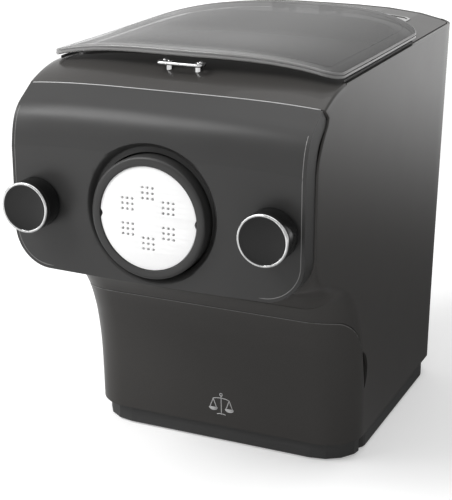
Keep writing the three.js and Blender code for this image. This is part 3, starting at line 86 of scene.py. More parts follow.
class Nodes:
    """A new material's node tree, with short ways to add nodes and links."""

    def __init__(self, name):
        self.material = MATERIALS[name] = bpy.data.materials.new(name)
        self.material.use_nodes = True
        self.tree = self.material.node_tree
        self.shader = self.tree.nodes["Principled BSDF"]
        self.place = self.add("ShaderNodeTexCoord").outputs["Object"]

    def add(self, kind, **values):
        node = self.tree.nodes.new(kind)
        for key, value in values.items():
            setattr(node, key, value)
        return node

    def link(self, source, target):
        self.tree.links.new(source, target)

    def drive(self, socket, source):
        """Feeds one of the shader's inputs."""
        self.link(source, self.shader.inputs[socket])

    def set(self, **values):
        for key, value in values.items():
            self.shader.inputs[key.replace("_", " ")].default_value = value

    def noise(self, scale, detail=3.0, stretch=None, rough=0.5):
        node = self.add("ShaderNodeTexNoise")
        node.inputs["Scale"].default_value = scale
        node.inputs["Detail"].default_value = detail
        node.inputs["Roughness"].default_value = rough
        source = self.place
        if stretch:
            mapping = self.add("ShaderNodeMapping")
            mapping.inputs["Scale"].default_value = stretch
            self.link(source, mapping.inputs["Vector"])
            source = mapping.outputs["Vector"]
        self.link(source, node.inputs["Vector"])
        return node.outputs["Fac"]

    def ramp(self, source, low, high, start=0.35, end=0.65):
        node = self.add("ShaderNodeValToRGB")
        first, last = node.color_ramp.elements
        first.position, last.position = start, end
        first.color, last.color = low, high
        self.link(source, node.inputs["Fac"])
        return node.outputs["Color"]

    def span(self, source, low, high, start=0.0, end=1.0, blend="LINEAR"):
        """Maps start to low and end to high."""
        node = self.add("ShaderNodeMapRange", interpolation_type=blend)
        for socket, value in zip(("From Min", "From Max", "To Min", "To Max"), (start, end, low, high)):
            node.inputs[socket].default_value = value
        self.link(source, node.inputs["Value"])
        return node.outputs["Result"]

    def bump(self, source, strength, distance):
        node = self.add("ShaderNodeBump")
        node.inputs["Strength"].default_value = strength
        node.inputs["Distance"].default_value = distance
        self.link(source, node.inputs["Height"])
        self.drive("Normal", node.outputs["Normal"])


def grey(value, warm=0.0):
    return (value * (1 + warm), value, value * (1 - warm), 1.0)


def plastic(name, low, high, rough, grain, depth, patch=9.0, **sockets):
    """Moulded plastic: broad colour drift, uneven gloss and a fine grain in the surface."""
    n = Nodes(name)
    n.drive("Base Color", n.ramp(n.noise(patch, 2.0), low, high))
    smear = n.noise(patch * 4, 4.0, rough=0.6)
    n.drive("Roughness", n.span(smear, rough * 0.85, rough * 1.18))
    n.bump(n.noise(grain, 2.0), 0.35, depth)
    n.set(**sockets)


def metal(name, low, high, rough, stretch, depth=0.00002):
    """Metal with fine lines from its drawing or turning."""
    n = Nodes(name)
    lines = n.noise(900.0, 3.0, stretch)
    n.drive("Base Color", n.ramp(lines, low, high))
    n.drive("Roughness", n.span(lines, rough * 0.7, rough * 1.3))
    n.bump(lines, 0.2, depth)
    n.set(Metallic=1.0)


def body_gloss(name, coat):
    """Gloss plastic: fine flakes under a clear surface."""
    n = Nodes(name)
    flakes = n.noise(5200.0, 1.0)
    n.drive("Base Color", n.ramp(flakes, grey(0.036, 0.05), grey(0.056, 0.04), 0.3, 0.7))
    n.drive("Roughness", n.span(n.noise(30.0, 4.0), 0.27, 0.33))
    n.bump(n.noise(70.0, 2.0), 0.04, 0.0002)
    n.set(Specular_IOR_Level=0.12, Coat_Weight=coat, Coat_Roughness=0.03, Coat_IOR=1.2)


# Where the lid's painted reflection, a paler band, begins and ends, along the lid's own y in metres
REFLECTION_BAND_FRONT, REFLECTION_BAND_BACK = -0.106, -0.086


def clear_plastic(name, tint, reflection_tint, rough):
    """Smoky see-through plastic with a painted reflection: a paler, less clear band along its front edge.
    """
    n = Nodes(name)
    n.drive("Roughness", n.span(n.noise(40.0, 4.0), rough * 0.8, rough * 1.3))
    n.bump(n.noise(60.0, 2.0), 0.03, 0.0002)
    split = n.add("ShaderNodeSeparateXYZ")
    n.link(n.place, split.inputs[0])
    # The band's paler colour and lesser clearness are a painted reflection
    painted_reflection = n.span(split.outputs["Y"], 1.0, 0.0, REFLECTION_BAND_FRONT, REFLECTION_BAND_BACK, "SMOOTHSTEP")
    n.drive("Base Color", n.ramp(painted_reflection, tint, reflection_tint, 0.0, 1.0))
    n.drive("Alpha", n.span(painted_reflection, 0.62, 0.86))
    n.set(Specular_IOR_Level=0.14)


BOARD_GREENS = (0.01, 0.1, 0.04, 1), (0.02, 0.17, 0.07, 1)
BRASS_TONES = (0.5, 0.33, 0.12, 1), (0.68, 0.46, 0.2, 1)
WHITE_GLOW = (0.002, 0.002, 0.002)


def make_materials():
    """One material for each slot, then those that only a few faces or lines have."""
    body_gloss("body_gloss", coat=0.56)
    plastic(
        "panel_satin", grey(0.030, 0.01), grey(0.035, 0.01), rough=0.36, grain=2600.0,
        depth=0.00004, Specular_IOR_Level=0.24,
    )
    plastic("inner_plastic", grey(0.07), grey(0.085), rough=0.45, grain=1800.0, depth=0.00006)
    plastic("base_plastic", grey(0.034), grey(0.040), rough=0.42, grain=2200.0, depth=0.00005)
    plastic("foot_rubber", grey(0.018), grey(0.03), rough=0.8, grain=900.0, depth=0.0001)
    metal("cell_aluminium", grey(0.55), grey(0.7), 0.35, (1, 0.05, 1))
    plastic(
        "food_plastic", grey(0.17, 0.01), grey(0.20, 0.01), rough=0.25, grain=1500.0, depth=0.00003
    )
    plastic(
        "disc_white", grey(0.88), grey(0.92), rough=0.35, grain=2500.0, depth=0.00003,
        Subsurface_Weight=0.1, Subsurface_Radius=WHITE_GLOW,
    )
    plastic(
        "knob_black", grey(0.006), grey(0.009), rough=0.16, grain=900.0, depth=0.00001,
        Specular_IOR_Level=0.2,
    )
    metal("trim_chrome", grey(0.36), grey(0.5), 0.14, (1, 1, 0.1), 0.00001)
    metal("steel", grey(0.4), grey(0.55), 0.28, (1, 0.06, 1))
    plastic(
        "window_dark", grey(0.035, 0.2), grey(0.05, 0.2), rough=0.08, grain=700.0, depth=0.00001,
        Coat_Weight=1.0,
    )
    plastic("button_grey", grey(0.42), grey(0.5), rough=0.35, grain=2400.0, depth=0.00004)
    plastic("board", *BOARD_GREENS, rough=0.4, grain=1500.0, depth=0.0001, patch=160.0)
    clear_plastic("lid_clear", grey(0.034, 0.03), grey(0.2, 0.01), rough=0.04)
    metal("bush_brass", *BRASS_TONES, 0.25, (1, 0.1, 1))
    body_gloss("deck_gloss", coat=0.25)
    # Light grey that paints highlights: the light lines on the panel and drawer, and the drawer front's
    # rounded rims
    plastic("painted_line_highlight", grey(0.13, 0.01), grey(0.17, 0.01), rough=0.3, grain=2600.0, depth=0.00003)
    plastic(
        "knob_face", grey(0.006), grey(0.009), rough=0.32, grain=2200.0, depth=0.00002,
        Specular_IOR_Level=0.2,
    )
    # A lighter, clearer copy of the lid's plastic for its rim's steep faces: a painted highlight
    plastic(
        "lid_edge_highlight", grey(0.24, 0.01), grey(0.30, 0.01), rough=0.18, grain=2600.0, depth=0.00002,
        Transmission_Weight=0.35,
    )
    # Light grey for real print, and for the painted highlight line where the head meets the panel
    plastic("print_and_line_highlight", grey(0.42), grey(0.5), rough=0.5, grain=2600.0, depth=0.00001)


# Finish of the solids
SMOOTH_DEGREES, BASE_SMOOTH_DEGREES = 32, 60
BASE_CORNER_ROUND = 1.6


def crisp(piece, degrees):
    """Keeps every edge sharp that turns by more than the given angle."""
    split = piece.modifiers.new("crisp edges", "EDGE_SPLIT")
    split.split_angle = math.radians(degrees)


def even_normals(piece):
    even = piece.modifiers.new("even normals", "WEIGHTED_NORMAL")
    even.keep_sharp = True
    return even


def soft_edges(piece, width, degrees=38, segments=2):
    """Rounds every edge that turns by more than the given angle."""
    rim = piece.modifiers.new("soft edges", "BEVEL")
    rim.width = width * MM
    rim.segments = segments
    rim.limit_method = "ANGLE"
    rim.angle_limit = math.radians(degrees)
    return rim


def finish_solids():
    """Gives every solid the material of its slot and its shading."""
    for row in frame["record"]["subparts"]:
        node, slot = NODES[row["node"]], row["material_slot"]
        node.data.materials.clear()
        node.data.materials.append(MATERIALS[slot])
        for face in node.data.polygons:
            face.use_smooth = True
        crisp(node, BASE_SMOOTH_DEGREES if slot == "base_plastic" else SMOOTH_DEGREES)
        even_normals(node)
    NODES["top_deck"].data.materials[0] = MATERIALS["deck_gloss"]
    for name in ("drawer_plinth", "base_plate"):
        soft_edges(NODES[name], BASE_CORNER_ROUND, degrees=9, segments=4)


# Sizes of the body in millimetres; y runs back from near the drawer's face, z up from the table
Y_SHIFT = 48.556
HALF = 107.5
PLINTH, CHIN = 15.1, 160.0
COVER_FRONT, NECK_REACH = -4.35, 79.6
FRONT_RADIUS, BACK_RADIUS = 29.0, 9.0
BACK_FOOT, BACK_LEAN, BACK_POWER = 199.0, 17.5, 1.4
DECK_FRONT, DECK_RISE, DECK_BACK = 290.8, 3.4, 216.5
CROWN, CROWN_POWER, HEAD_CROWN = 9.4, 3.3, 3.5
HEAD_DROP, HEAD_DROP_POWER, HEAD_REACH = 9.8, 1.8, 39.0
SEAM, GAP, SKIN, SKIN_ROUND = -34.0, 0.3, 2.3, 0.35
AXIS_Z = 206.9

# The neck's curve: share of the way from plinth to chin, share of its reach forward
NECK_SHARES = [
    (0, 0), (0.22, 0.018), (0.37, 0.043), (0.517, 0.097), (0.593, 0.142), (0.676, 0.207),
    (0.752, 0.295), (0.828, 0.414), (0.89, 0.552), (0.938, 0.728), (0.972, 0.87), (1, 1),
]

# The drawer front's edge seen from the side, from the plinth up and round to the front
DRAWER_SIDE, DRAWER_TOP = 27.9, 118.5
DRAWER_EDGE_SHARES = [
    (1, 0), (0.871, 0.279), (0.771, 0.445), (0.616, 0.652), (0.466, 0.743), (0.219, 0.843),
    (-0.118, 0.927), (-0.466, 0.981), (-0.86, 1),
]

# The finger recess in each side wall: its middle, its half sizes and the zone that its cuts stay in
RECESS_Y, RECESS_Z, RECESS_REACH, RECESS_RISE = 14.0, 67.0, 15.0, 18.0
RECESS_ZONE_Y, RECESS_ZONE_Z, WALL_ZONE = (-8, 45), (42, 92), 90

# How finely the skins are divided
NECK_ROWS, WALL_ROWS, DRAWER_ROWS, EDGE_STEPS = 70, 12, 60, 40
FLAT_STEPS, CORNER_STEPS, SIDE_STEPS, BACK_STEPS = 12, 16, 20, 8


def spot(x, y, z):
    """The place of a point in the scene, from its millimetres on the body."""
    return Vector((x, y - Y_SHIFT, z)) * MM


def mix(a, b, share):
    return a + (b - a) * share


def clamp(value):
    return max(0.0, min(1.0, value))


def turns(count, start, end):
    """Sine and cosine of count + 1 even angles from start to end, in half turns."""
    for i in range(count + 1):
        angle = math.pi * mix(start, end, i / count)
        yield math.sin(angle), math.cos(angle)


def around(count):
    """Sine and cosine of count even angles of a full turn."""
    return list(turns(count, 0, 2))[:-1]


def through(points, t):
    """Value at t of a smooth curve through (t, value) pairs."""
    last = len(points) - 2
    i = next((k for k in range(last) if t <= points[k + 1][0]), last)

    def slope(k):
        a, b = points[max(0, k - 1)], points[min(last + 1, k + 1)]
        return (b[1] - a[1]) / (b[0] - a[0])

    (t0, v0), (t1, v1) = points[i], points[i + 1]
    step = t1 - t0
    s = clamp((t - t0) / step)
    return (
        (2 * s**3 - 3 * s**2 + 1) * v0
        + (s**3 - 2 * s**2 + s) * step * slope(i)
        + (3 * s**2 - 2 * s**3) * v1
        + (s**3 - s**2) * step * slope(i + 1)
    )


def front_at(z):
    """y of the body's front below the head."""
    share = clamp((z - PLINTH) / (CHIN - PLINTH))
    return COVER_FRONT - NECK_REACH * through(NECK_SHARES, share)


def back_at(z):
    return BACK_FOOT + BACK_LEAN * max(0.0, (z - PLINTH) / (DECK_FRONT - PLINTH)) ** BACK_POWER


def crown_at(x, half, rise):
    return rise * (1 - min(1.0, abs(x) / half) ** CROWN_POWER)


def deck_edge(y):
    """z of the deck's side edge."""
    return DECK_FRONT + DECK_RISE * (y - SEAM) / (DECK_BACK - SEAM)


def deck_at(x, y):
    return deck_edge(y) + crown_at(x, HALF, CROWN)


def head_edge(y):
    """z of the head's side edge, which falls towards the front."""
    return DECK_FRONT - HEAD_DROP * max(0.0, (SEAM - y) / HEAD_REACH) ** HEAD_DROP_POWER


def head_crown(y):
    return mix(CROWN, HEAD_CROWN, clamp((SEAM - y) / HEAD_REACH))


# Mesh building
WELD = 0.03
SIDES = (("left", -1), ("right", 1))


def link(name, mesh, body, slot, *replaced, look=None, smooth=True):
    """Puts a mesh in the scene as a piece of the part, with the finish of its slot or its own look."""
    piece = placed(name, mesh)
    mesh.materials.append(MATERIALS[look or slot])
    for face in mesh.polygons:
        face.use_smooth = smooth
    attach(piece, body)
    if replaced:
        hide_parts(*replaced)
    return piece


def grid_mesh(name, rows, close_rows=False, close_columns=False):
    """A mesh from rows of points, each row with the same number of points."""
    wide, tall = len(rows[0]), len(rows)
    faces = []
    for i in range(tall if close_rows else tall - 1):
        for j in range(wide if close_columns else wide - 1):
            a, b = i * wide, (i + 1) % tall * wide
            c, d = j, (j + 1) % wide
            faces.append((a + c, a + d, b + d, b + c))
    mesh = bpy.data.meshes.new(name)
    mesh.from_pydata([tuple(p) for row in rows for p in row], [], faces)
    return mesh


def edited(mesh, work):
    """Runs work on the mesh's bmesh, welds points that meet, and writes it back."""
    shape = bmesh.new()
    shape.from_mesh(mesh)
    work(shape)
    bmesh.ops.remove_doubles(shape, verts=shape.verts, dist=WELD * MM)
    shape.to_mesh(mesh)
    shape.free()
    return mesh


def outward(shape):
    bmesh.ops.recalc_face_normals(shape, faces=shape.faces)


def flipped(shape):
    bmesh.ops.reverse_faces(shape, faces=shape.faces)


def closed(mesh):
    """Caps the open ends of a mesh."""
    def cap(shape):
        bmesh.ops.holes_fill(shape, edges=shape.edges)
        outward(shape)

    return edited(mesh, cap)


def cut_plane(shape, point, normal, clear=False, faces=None):
    """Cuts the faces along a plane and, if asked, clears what lies behind it."""
    if faces is None:
        geometry = list(shape.verts) + list(shape.edges) + list(shape.faces)
    else:
        geometry = list({v for f in faces for v in f.verts})
        geometry += list({e for f in faces for e in f.edges}) + faces
    bmesh.ops.bisect_plane(
        shape, geom=geometry, dist=1e-7, plane_co=point, plane_no=normal, clear_inner=clear
    )


def side_cut(shape, start, end, faces=None):
    """Cuts across the body along a line seen from the side."""
    (y0, z0), (y1, z1) = start, end
    cut_plane(shape, spot(0, y0, z0), Vector((0, z1 - z0, y0 - y1)).normalized(), faces=faces)


def side_place(face):
    """x, y and z of a face's middle in the body's millimetres."""
    middle = face.calc_center_median() / MM
    return middle.x, middle.y + Y_SHIFT, middle.z


def inside(polygon, y, z):
    """Whether a point lies in a polygon of (y, z) points."""
    found = False
    for (y0, z0), (y1, z1) in zip(polygon, polygon[1:] + polygon[:1]):
        if (z0 > z) != (z1 > z) and y < (y1 - y0) * (z - z0) / (z1 - z0) + y0:
            found = not found
    return found


def stencil(shape, polygon, keep):
    """Cuts the mesh along a side-view polygon and keeps the faces inside or outside it."""
    for start, end in zip(polygon, polygon[1:]):
        side_cut(shape, start, end)
    gone = [face for face in shape.faces if inside(polygon, *side_place(face)[1:]) != keep]
    bmesh.ops.delete(shape, geom=gone, context="FACES")


def recess_outline(grow=0.0):
    """The finger recess seen from the side, an ellipse."""
    return [
        (RECESS_Y + (RECESS_REACH + grow) * cos, RECESS_Z + (RECESS_RISE + grow) * sin)
        for sin, cos in around(48)
    ]


def open_recess(shape):
    """Opens the finger recess in both side walls."""
    outline = recess_outline()

    def near(face):
        x, y, z = side_place(face)
        in_zone = RECESS_ZONE_Y[0] < y < RECESS_ZONE_Y[1] and RECESS_ZONE_Z[0] < z < RECESS_ZONE_Z[1]
        return abs(x) > WALL_ZONE and in_zone

    for start, end in zip(outline, outline[1:] + outline[:1]):
        side_cut(shape, start, end, [face for face in shape.faces if near(face)])
    gone = [face for face in shape.faces if near(face) and inside(outline, *side_place(face)[1:])]
    bmesh.ops.delete(shape, geom=gone, context="FACES")


def drawer_region(grow):
    """The drawer front seen from the side, as a polygon that reaches far ahead of the body."""
    height = DRAWER_TOP - PLINTH
    control = [
        (DRAWER_SIDE * u + grow, PLINTH + v * height + grow) for u, v in DRAWER_EDGE_SHARES
    ]
    line = []
    for i in range(EDGE_STEPS + 1):
        share = i / EDGE_STEPS * (len(control) - 1)
        line.append(tuple(through([(k, p[axis]) for k, p in enumerate(control)], share) for axis in (0, 1)))
    return [(line[0][0], 0), *line[:-1], (-2 * HALF, line[-1][1]), (-2 * HALF, 0)]


def plan_ring(front, back):
    """Right half of the body's plan, from the middle of the front round to the back corner."""
    flat = HALF - FRONT_RADIUS
    points = [(flat * i / FLAT_STEPS, front) for i in range(FLAT_STEPS)]
    for sin, cos in turns(CORNER_STEPS, 0, 0.5):
        points.append((flat + FRONT_RADIUS * sin, front + FRONT_RADIUS * (1 - cos)))
    start, end = front + FRONT_RADIUS, back - BACK_RADIUS
    points += [(HALF, mix(start, end, i / SIDE_STEPS)) for i in range(1, SIDE_STEPS)]
    for sin, cos in turns(BACK_STEPS, 0, 0.5):
        points.append((HALF - BACK_RADIUS * (1 - cos), end + BACK_RADIUS * sin))
    return points


def mirrored(half_path):
    return [(-x, y) for x, y in reversed(half_path[1:])] + half_path


def skin_half(y, z):
    """x of the body's side, or of its rounded front corner where y is that far ahead."""
    ahead = front_at(z) + FRONT_RADIUS - y
    if ahead <= 0:
        return HALF
    return HALF - FRONT_RADIUS + math.sqrt(FRONT_RADIUS**2 - ahead**2)


def thicken(piece, thickness):
    """Gives a skin its thickness, inward from its outer face."""
    thick = piece.modifiers.new("thickness", "SOLIDIFY")
    thick.thickness = thickness * MM
    thick.offset = -1


def solid_skin(piece, edge=SKIN_ROUND):
    """Makes a skin a wall with rounded edges and returns the modifier that rounds them."""
    thicken(piece, SKIN)
    rim = soft_edges(piece, edge)
    rim.harden_normals = True
    return rim


# Body and drawer front
SHELL_EASE = 0.998
DRAWER_ROUND = 0.45


def body_rows():
    """Rows of the whole body's outer skin, from the plinth up to the deck."""
    rows = []
    for i in range(NECK_ROWS + 1):
        z = mix(PLINTH, CHIN, i / NECK_ROWS)
        path = mirrored(plan_ring(front_at(z), back_at(z)))
        rows.append([spot(x * SHELL_EASE, y, z) for x, y in path])
    for i in range(1, WALL_ROWS + 1):
        share = i / WALL_ROWS
        path = mirrored(plan_ring(front_at(CHIN), back_at(mix(CHIN, DECK_FRONT, share))))
        rows.append([spot(x * SHELL_EASE, y, mix(CHIN, deck_at(x, y), share)) for x, y in path])
    return rows


def make_body():
    def work(shape):
        cut_plane(shape, spot(0, SEAM, 0), Vector((0, 1, 0)), clear=True)
        stencil(shape, drawer_region(GAP), False)
        open_recess(shape)

    mesh = edited(grid_mesh("body_shell", body_rows()), work)
    solid_skin(link(
        "body_shell", mesh, "housing", "body_gloss", "side_panel_left", "side_panel_right", "neck_cover"
    ))


def make_drawer_front():
    rows = []
    for i in range(DRAWER_ROWS + 1):
        z = mix(PLINTH, DRAWER_TOP, i / DRAWER_ROWS)
        rows.append([spot(x, y, z) for x, y in mirrored(plan_ring(front_at(z), back_at(z)))])
    mesh = grid_mesh("drawer_front", rows)
    edited(mesh, lambda shape: stencil(shape, drawer_region(0), True))
    front = link("drawer_front", mesh, "drawer", "body_gloss", "drawer_cover")
    # The drawer front's rounded rims take this light grey as a painted edge highlight
    mesh.materials.append(MATERIALS["painted_line_highlight"])
    solid_skin(front, DRAWER_ROUND).material = 1


# Head housing, behind the front panel
HEAD_END, HEAD_EDGE_ROUND = SEAM - GAP, 1.6
HEAD_TIP, HEAD_TIP_Z = -72.7, 280.8
CORNER_FADE, CORNER_LEAST = 27, 1.4
HEAD_BASE = CHIN + CORNER_FADE
ARC_STEPS, LINE_STEPS, BASE_ROWS, RISE_ROWS, ROUND_STEPS, CHIN_ROWS = 12, 12, 12, 24, 6, 40

# z and y of the head's front edge seen from the side
HEAD_LINE = [
    (CHIN, -83.9), (242.8, -83.9), (253, -82.2), (262, -76.6), (268, -69.6), (270.9, -64.4),
]


def head_front(z):
    """y of the head's front edge seen from the side, behind the panel."""
    last_z, last_y = HEAD_LINE[-1]
    if z <= last_z:
        return through(HEAD_LINE, z)
    return mix(last_y, HEAD_TIP, min(1.0, (z - last_z) / (HEAD_TIP_Z - last_z)))


def corner_radius(z):
    """Plan radius of the head's front corner, from the chin's down to almost none."""
    share = max(0.0, 1 - (z - CHIN) / CORNER_FADE)
    return mix(CORNER_LEAST, FRONT_RADIUS, 1 - math.sqrt(1 - share**2))


def head_side(front, radius, step):
    """x and y of a step on the way round the head's front corner and back along its side."""
    if step <= ARC_STEPS:
        turn = math.pi / 2 * step / ARC_STEPS
        return HALF - radius * (1 - math.sin(turn)), front + radius * (1 - math.cos(turn))
    return HALF, mix(front + radius, HEAD_END, (step - ARC_STEPS) / LINE_STEPS)


def head_section(step):
    """Right half of the head's skin at one step back: up the side, over the edge, to the middle."""
    line = []
    for i in range(BASE_ROWS):
        z = mix(CHIN, HEAD_BASE, i / BASE_ROWS)
        line.append((*head_side(head_front(z), corner_radius(z), step), z))
    for i in range(RISE_ROWS + 1):
        level = mix(HEAD_BASE, HEAD_TIP_Z, i / RISE_ROWS)
        x, y = head_side(head_front(level), corner_radius(level), step)
        line.append((x, y, mix(HEAD_BASE, head_edge(y) - HEAD_EDGE_ROUND, i / RISE_ROWS)))
    x_side, y_side, _ = line[-1]
    for i, (sin, cos) in list(enumerate(turns(ROUND_STEPS, 0, 0.5)))[1:]:
        x = x_side - HEAD_EDGE_ROUND * (1 - cos)
        lift = crown_at(x, HALF, head_crown(y_side)) * i / ROUND_STEPS
        line.append((x, y_side, head_edge(y_side) - HEAD_EDGE_ROUND * (1 - sin) + lift))
    x_in = line[-1][0]
    at_end = y_side > HEAD_END - 0.01
    for i in range(1, RISE_ROWS + 1):
        x = x_in * (1 - i / RISE_ROWS)
        back_share = (y_side - HEAD_TIP) / (HEAD_END - HEAD_TIP)
        y = y_side if at_end else mix(y_side - panel_bow(x), HEAD_END, back_share)
        line.append((x, y, head_edge(y) + crown_at(x, HALF, head_crown(y))))
    return line


def chin_rows():
    """Rows of the head's lower part, from the drawer's top up to the panel's lower edge."""
    flat, reach = HALF - FRONT_RADIUS, HEAD_END - (head_front(CHIN) + FRONT_RADIUS)
    rows = []
    for i in range(CHIN_ROWS + 1):
        z = mix(DRAWER_TOP + GAP, CHIN, i / CHIN_ROWS)
        front = front_at(z) if i < CHIN_ROWS else head_front(CHIN)
        half = [(flat * k / FLAT_STEPS, front) for k in range(FLAT_STEPS)]
        half += [head_side(front, FRONT_RADIUS, k) for k in range(ARC_STEPS + 1)]
        back = front + FRONT_RADIUS
        half += [(HALF, back + reach * k / LINE_STEPS) for k in range(1, LINE_STEPS + 1)]
        rows.append([spot(x, y, z) for x, y in mirrored(half)])
    return rows


def make_head():
    sections = []
    for step in range(ARC_STEPS + LINE_STEPS + 1):
        half = head_section(step)
        full = half + [(-x, y, z) for x, y, z in reversed(half[:-1])]
        sections.append([spot(*point) for point in full])
    top = grid_mesh("head_shell", sections)
    chin = grid_mesh("chin", chin_rows())

    def work(shape):
        flipped(shape)
        shape.from_mesh(chin)
        cut_plane(shape, spot(0, HEAD_END, 0), Vector((0, -1, 0)), clear=True)

    edited(top, work)
    bpy.data.meshes.remove(chin)
    solid_skin(link("head_shell", top, "housing", "body_gloss", "head_housing"))


# Front panel
PANEL_HALF, PANEL_FRONT, PANEL_BOW = 106.1, -100.3, 3.4
PANEL_TOP, PANEL_CORNER, PANEL_REAR = 280.8, 27.0, -84.3
PANEL_LIP, PANEL_TAIL, PANEL_TAIL_DROP = 0.6, -64.7, 9.6
PANEL_ROUND, PANEL_NORMAL_WEIGHT = 0.9, 60
BEND_HEIGHT, BEND_REACH, INNER_BEND_DROP, INNER_BEND_SHARE = 38.0, 26.6, 9.9, 0.72
BEND_SHARES = [(0, 0), (0.3, 0.07), (0.55, 0.2), (0.72, 0.4), (0.85, 0.67), (1, 1)]
PANEL_STATIONS, FACE_ROWS, BEND_ROWS, INNER_ROWS = 44, 8, 24, 16

# The dish round the ring nut: steps out from its radius and back from the panel's face
DISH_RADIUS, DISH_DEPTH, DISH_LIFT = 48.2, 5.0, 2.4
DISH_FLARE, DISH_AHEAD = 3, 5
DISH_WALL = [
    (DISH_FLARE, -0.9), (1.4, -0.3), (0, 0.3), (-1.3, 1.1), (-2.4, 2.2), (-3.2, 3.4), (-3.9, 4.4),
    (-4.8, DISH_DEPTH),
]

# What the panel carries, and the play in its holes
RING_RADIUS, RING_FACE, RING_LENGTH = 41.2, -108.4, 16.0
RING_LIP, RING_SEAT, RING_BORE, RING_PLAY = 35.2, -101.2, 37.5, 1.1
DISC_RADIUS, DISC_FACE = 34.9, -107.3
KNOB_X, KNOB_Z, KNOB_RADIUS, KNOB_FACE, KNOB_LENGTH = 85.55, 207.1, 17.4, -120.55, 17.9
KNOB_HOLE = 4.3

# Where cutting tools begin and end, well clear of the panel
CUT_FRONT, CUT_BACK, PRISM_FRONT, PRISM_TOP = -130, -40, -150, 400


def turned(profile, radius, face):
    """Profile points given as steps out from a radius and back from a face."""
    return [(radius + out, face + depth) for out, depth in profile]


def lathe(name, profile, x, z, steps=96):
    """A closed turned mesh about a fore-and-aft axis; the profile is (radius, y) points."""
    rows = [[spot(x + r * cos, y, z + r * sin) for r, y in profile] for sin, cos in around(steps)]
    return edited(grid_mesh(name, rows, close_rows=True), outward)


def bore(name, radius, x, z, steps):
    """A round tool that cuts right through the panel."""
    profile = [(0, CUT_FRONT), (radius, CUT_FRONT), (radius, CUT_BACK), (0, CUT_BACK)]
    return lathe(name, profile, x, z, steps)


def final_mesh(piece):
    """A new mesh of the piece as its modifiers or curve settings leave it."""
    bpy.context.view_layer.update()
    graph = bpy.context.evaluated_depsgraph_get()
    return bpy.data.meshes.new_from_object(piece.evaluated_get(graph))


def carve(piece, cutters, operation="DIFFERENCE"):
    """Cuts the piece with each cutter mesh, or keeps only what lies in it."""
    tools = [placed(mesh.name, mesh) for mesh in cutters]
    for tool in tools:
        cut = piece.modifiers.new("cut", "BOOLEAN")
        cut.operation = operation
        cut.solver = "EXACT"
        cut.object = tool
    done = final_mesh(piece)
    piece.modifiers.clear()
    piece.data = done
    for tool in tools:
        bpy.data.objects.remove(tool)


def panel_bow(x):
    """How far the panel's middle stands ahead of its sides."""
    return PANEL_BOW * (1 - (x / PANEL_HALF) ** 2)


def panel_top(x):
    return PANEL_TOP + crown_at(x, PANEL_HALF, HEAD_CROWN)


def panel_front_at(x, z):
    """y of the panel's face at (x, z)."""
    share = clamp((z - panel_top(x) + BEND_HEIGHT) / BEND_HEIGHT)
    return PANEL_FRONT - panel_bow(x) + BEND_REACH * through(BEND_SHARES, share)


def panel_section(x):
    """The panel cut from front to back: up its face, over the bent top and down behind."""
    top = panel_top(x)
    bend = top - BEND_HEIGHT
    heights = [mix(CHIN, bend, i / FACE_ROWS) for i in range(FACE_ROWS)]
    heights += [mix(bend, top, i / BEND_ROWS) for i in range(BEND_ROWS + 1)]
    section = [(panel_front_at(x, z), z) for z in heights]
    section.append((section[-1][0] + PANEL_LIP, top))
    section.append((PANEL_TAIL, top - PANEL_TAIL_DROP))
    for i in range(1, INNER_ROWS + 1):
        share = 1 - i / INNER_ROWS
        y = PANEL_REAR + through(BEND_SHARES, share) * BEND_REACH * INNER_BEND_SHARE
        section.append((y, bend + share * (BEND_HEIGHT - INNER_BEND_DROP)))
    section.append((PANEL_REAR, CHIN))
    return [spot(x, y, z) for y, z in section]


def corner_points(inset, steps):
    """Points round the panel's lower corners, from right to left, drawn in by inset."""
    radius = PANEL_CORNER - inset
    return [
        (side * (PANEL_HALF - PANEL_CORNER) + radius * cos, CHIN + PANEL_CORNER + radius * sin)
        for side, start in ((1, 0), (-1, -0.5))
        for sin, cos in turns(steps, start, start - 0.5)
    ]


def outline_prism():
    """A block with the panel's outline, to cut the panel with."""
    outline = [(PANEL_HALF, PRISM_TOP), *corner_points(0, 16), (-PANEL_HALF, PRISM_TOP)]
    rows = [[spot(x, y, z) for x, z in outline] for y in (PRISM_FRONT, CUT_BACK)]
    return closed(grid_mesh("outline", rows, close_columns=True))


def make_panel():
    stations = [mix(-PANEL_HALF, PANEL_HALF, i / PANEL_STATIONS) for i in range(PANEL_STATIONS + 1)]
    rows = [panel_section(x) for x in stations]
    panel = placed("panel_face", closed(grid_mesh("panel_face", rows, close_columns=True)))
    carve(panel, [outline_prism()], "INTERSECT")
    face = PANEL_FRONT - PANEL_BOW
    bowl = [(0, face - DISH_AHEAD), (DISH_RADIUS + DISH_FLARE, face - DISH_AHEAD)]
    bowl += [*turned(DISH_WALL, DISH_RADIUS, face), (0, face + DISH_DEPTH)]
    cutters = [
        lathe("bowl", bowl, 0, AXIS_Z + DISH_LIFT, 128),
        bore("bore", RING_RADIUS + RING_PLAY, 0, AXIS_Z, 128),
    ]
    cutters += [bore("hole", KNOB_HOLE, side * KNOB_X, KNOB_Z, 32) for side in (-1, 1)]
    carve(panel, cutters)
    mesh = panel.data
    mesh.name = "panel_face"
    bpy.data.objects.remove(panel)
    panel = link("panel_face", mesh, "front_panel", "panel_satin", "front_panel")
    soft_edges(panel, PANEL_ROUND, degrees=34, segments=3).harden_normals = True
    even_normals(panel).weight = PANEL_NORMAL_WEIGHT


